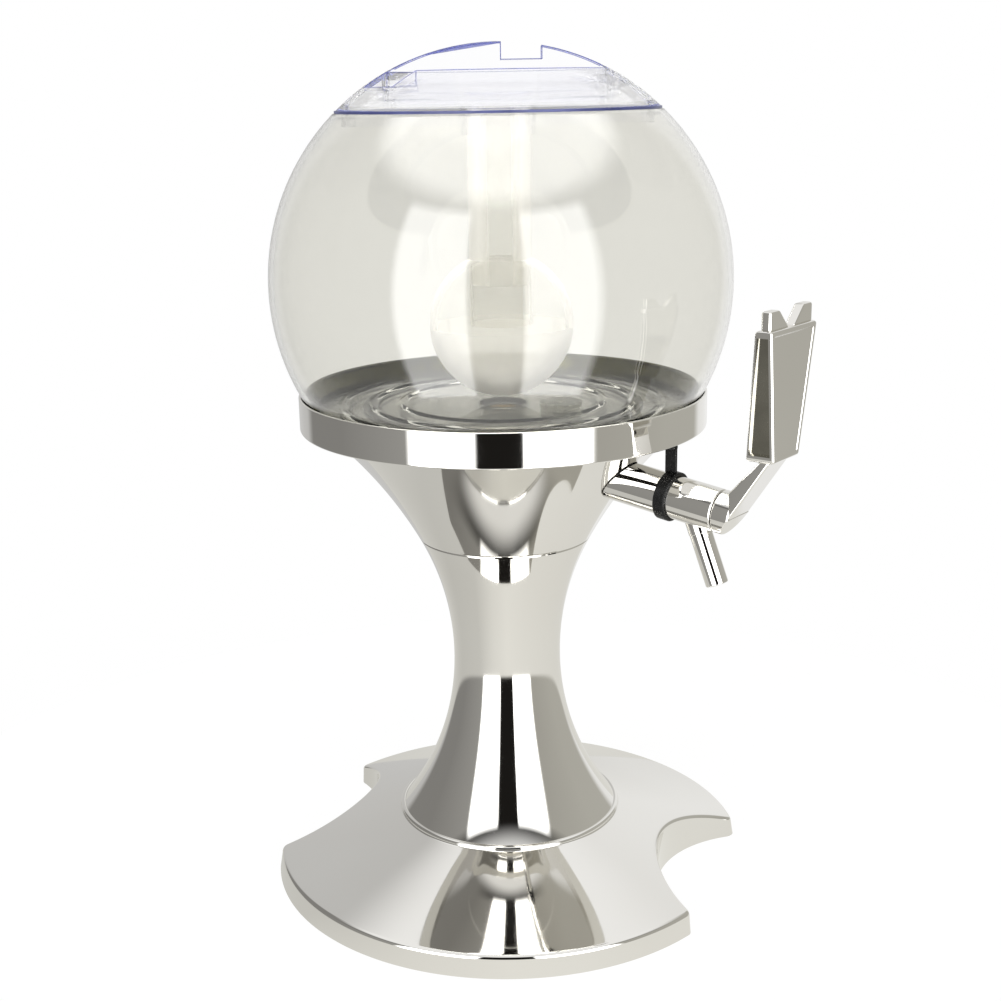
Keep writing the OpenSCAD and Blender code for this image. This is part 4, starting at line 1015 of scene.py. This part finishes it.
def floor():
    """White table top that ends beyond the base in mirror images, where it glows with painted light, brighter
    from the front and the right.
    """
    # Painted light of the table top in mirror images, brighter to the front and the right
    greys = [(-180, 0.74), (-110, 0.60), (-60, 0.64), (-28, 0.82), (0, 0.90), (40, 0.86), (100, 0.82),
             (180, 0.74)]
    obj = lathe("floor", [(0, -FLOOR_T), (FLOOR_R, -FLOOR_T), (FLOOR_R, 0), (0, 0)], 96)
    mat, tree, shader = material("floor")
    tree.nodes.remove(shader)
    path, straight = seen(tree)
    diffuse = tree.nodes.new("ShaderNodeBsdfDiffuse")
    diffuse.inputs["Color"].default_value = (0.9, 0.9, 0.9, 1)
    lit = diffuse.outputs["BSDF"]
    shown = blend(tree, PAGE_SHARE, lit, shine(tree, "Emission", (1, 1, 1, 1), PAGE_LIGHT))
    place = tree.nodes.new("ShaderNodeNewGeometry").outputs["Position"]
    share = bearing(tree, place)[2]
    colour = ramp_node(tree, share, 1.0, [(a, (c, 0.99 * c, 0.94 * c)) for a, c in greys])
    reach = vector_math(tree, "LENGTH", place).outputs["Value"]
    fade = map_range(tree, reach, (FLOOR_FADE * MM, FLOOR_R * MM), smooth=True)
    gone = tree.nodes.new("ShaderNodeBsdfTransparent").outputs["BSDF"]
    mirrored = blend(tree, fade, shine(tree, "Emission", colour, 1.0), gone)
    other = blend(tree, path["Is Glossy Ray"], lit, mirrored)
    tree.links.new(blend(tree, straight, other, shown), tree.nodes["Material Output"].inputs["Surface"])
    dress(obj, mat)


def room(tree, height, share):
    """Colour of the studio's walls: two soft boxes, the dark room between and above them, and grey sides."""
    white, dark = (BOX_LIGHT,) * 3, (0.012, 0.011, 0.01)
    left, left_in = (0.25, 0.245, 0.235), (0.34, 0.335, 0.32)
    right, right_in = (0.48, 0.47, 0.43), (0.42, 0.41, 0.375)
    low = ramp_node(tree, share, BOX_LIGHT, [
        (-180, left), (-100, left), (-54, left_in), (-50, white), (-17, white), (-15, dark),
        (10, dark), (12, white), (45, white), (51, right_in), (100, right), (180, right)])
    high = ramp_node(tree, share, BOX_LIGHT, [
        (-180, left), (-110, left), (-32, dark), (30, dark), (110, right), (180, right)])
    rise = map_range(tree, height, [math.sin(a) for a in BOX_FADE])
    return mix_colour(tree, rise, low, high)


def world():
    """Studio with a light ceiling, at a plain level for all but mirror rays.

    The camera and clear plastic see a white page, brighter towards the ceiling in plastic, and mirrors see it
    behind the object.
    """
    page_greys = [(-180, 0.46), (-160, 0.48), (-140, 0.42), (-132, 0), (132, 0), (140, 0.78), (160, 0.86),
                  (180, 0.46)]
    studio = bpy.data.worlds.new("studio")
    bpy.context.scene.world = studio
    studio.use_nodes = True
    tree = studio.node_tree
    tree.nodes.clear()
    coords = tree.nodes.new("ShaderNodeTexCoord")
    direction, height, share = bearing(tree, coords.outputs["Generated"])
    upward = vector_math(tree, "DOT_PRODUCT", direction)
    upward.inputs[1].default_value = (math.cos(CEILING_RISE), 0, math.sin(CEILING_RISE))
    ceiling = map_range(tree, upward.outputs["Value"], [math.cos(a) for a in CEILING_FADE], smooth=True)
    path, straight = seen(tree)
    colour = mix_colour(tree, ceiling, room(tree, height, share), (TOP_LIGHT / BOX_LIGHT,) * 3 + (1,))
    level = map_range(tree, path["Is Glossy Ray"], target=(PLAIN_LIGHT, BOX_LIGHT))
    in_wall = math_node(tree, "MULTIPLY", path["Is Transmission Ray"], ceiling)
    glow = map_range(tree, in_wall, target=(1.0, GLOW_LIGHT))
    backdrop = ramp_node(tree, share, 1.0, [(a, (c,) * 3) for a, c in page_greys])
    mirrored = math_node(tree, "MULTIPLY", path["Is Glossy Ray"], backdrop)
    page_share = math_node(tree, "MAXIMUM", straight, mirrored)
    shown = blend(tree, page_share, shine(tree, "Background", colour, level),
                  shine(tree, "Background", (1, 1, 1, 1), glow))
    out = tree.nodes.new("ShaderNodeOutputWorld")
    tree.links.new(shown, out.inputs["Surface"])


def overhead_lamp():
    data = bpy.data.lights.new("overhead", "AREA")
    data.shape = "RECTANGLE"
    data.size, data.size_y = LAMP_SIZE
    data.energy = LAMP_POWER
    obj = bpy.data.objects.new("overhead", data)
    obj.location = LAMP_AT
    obj.visible_glossy = False
    bpy.context.scene.collection.objects.link(obj)


camera()
floor()
world()
overhead_lamp()
bpy.context.scene.view_settings.view_transform = "Standard"
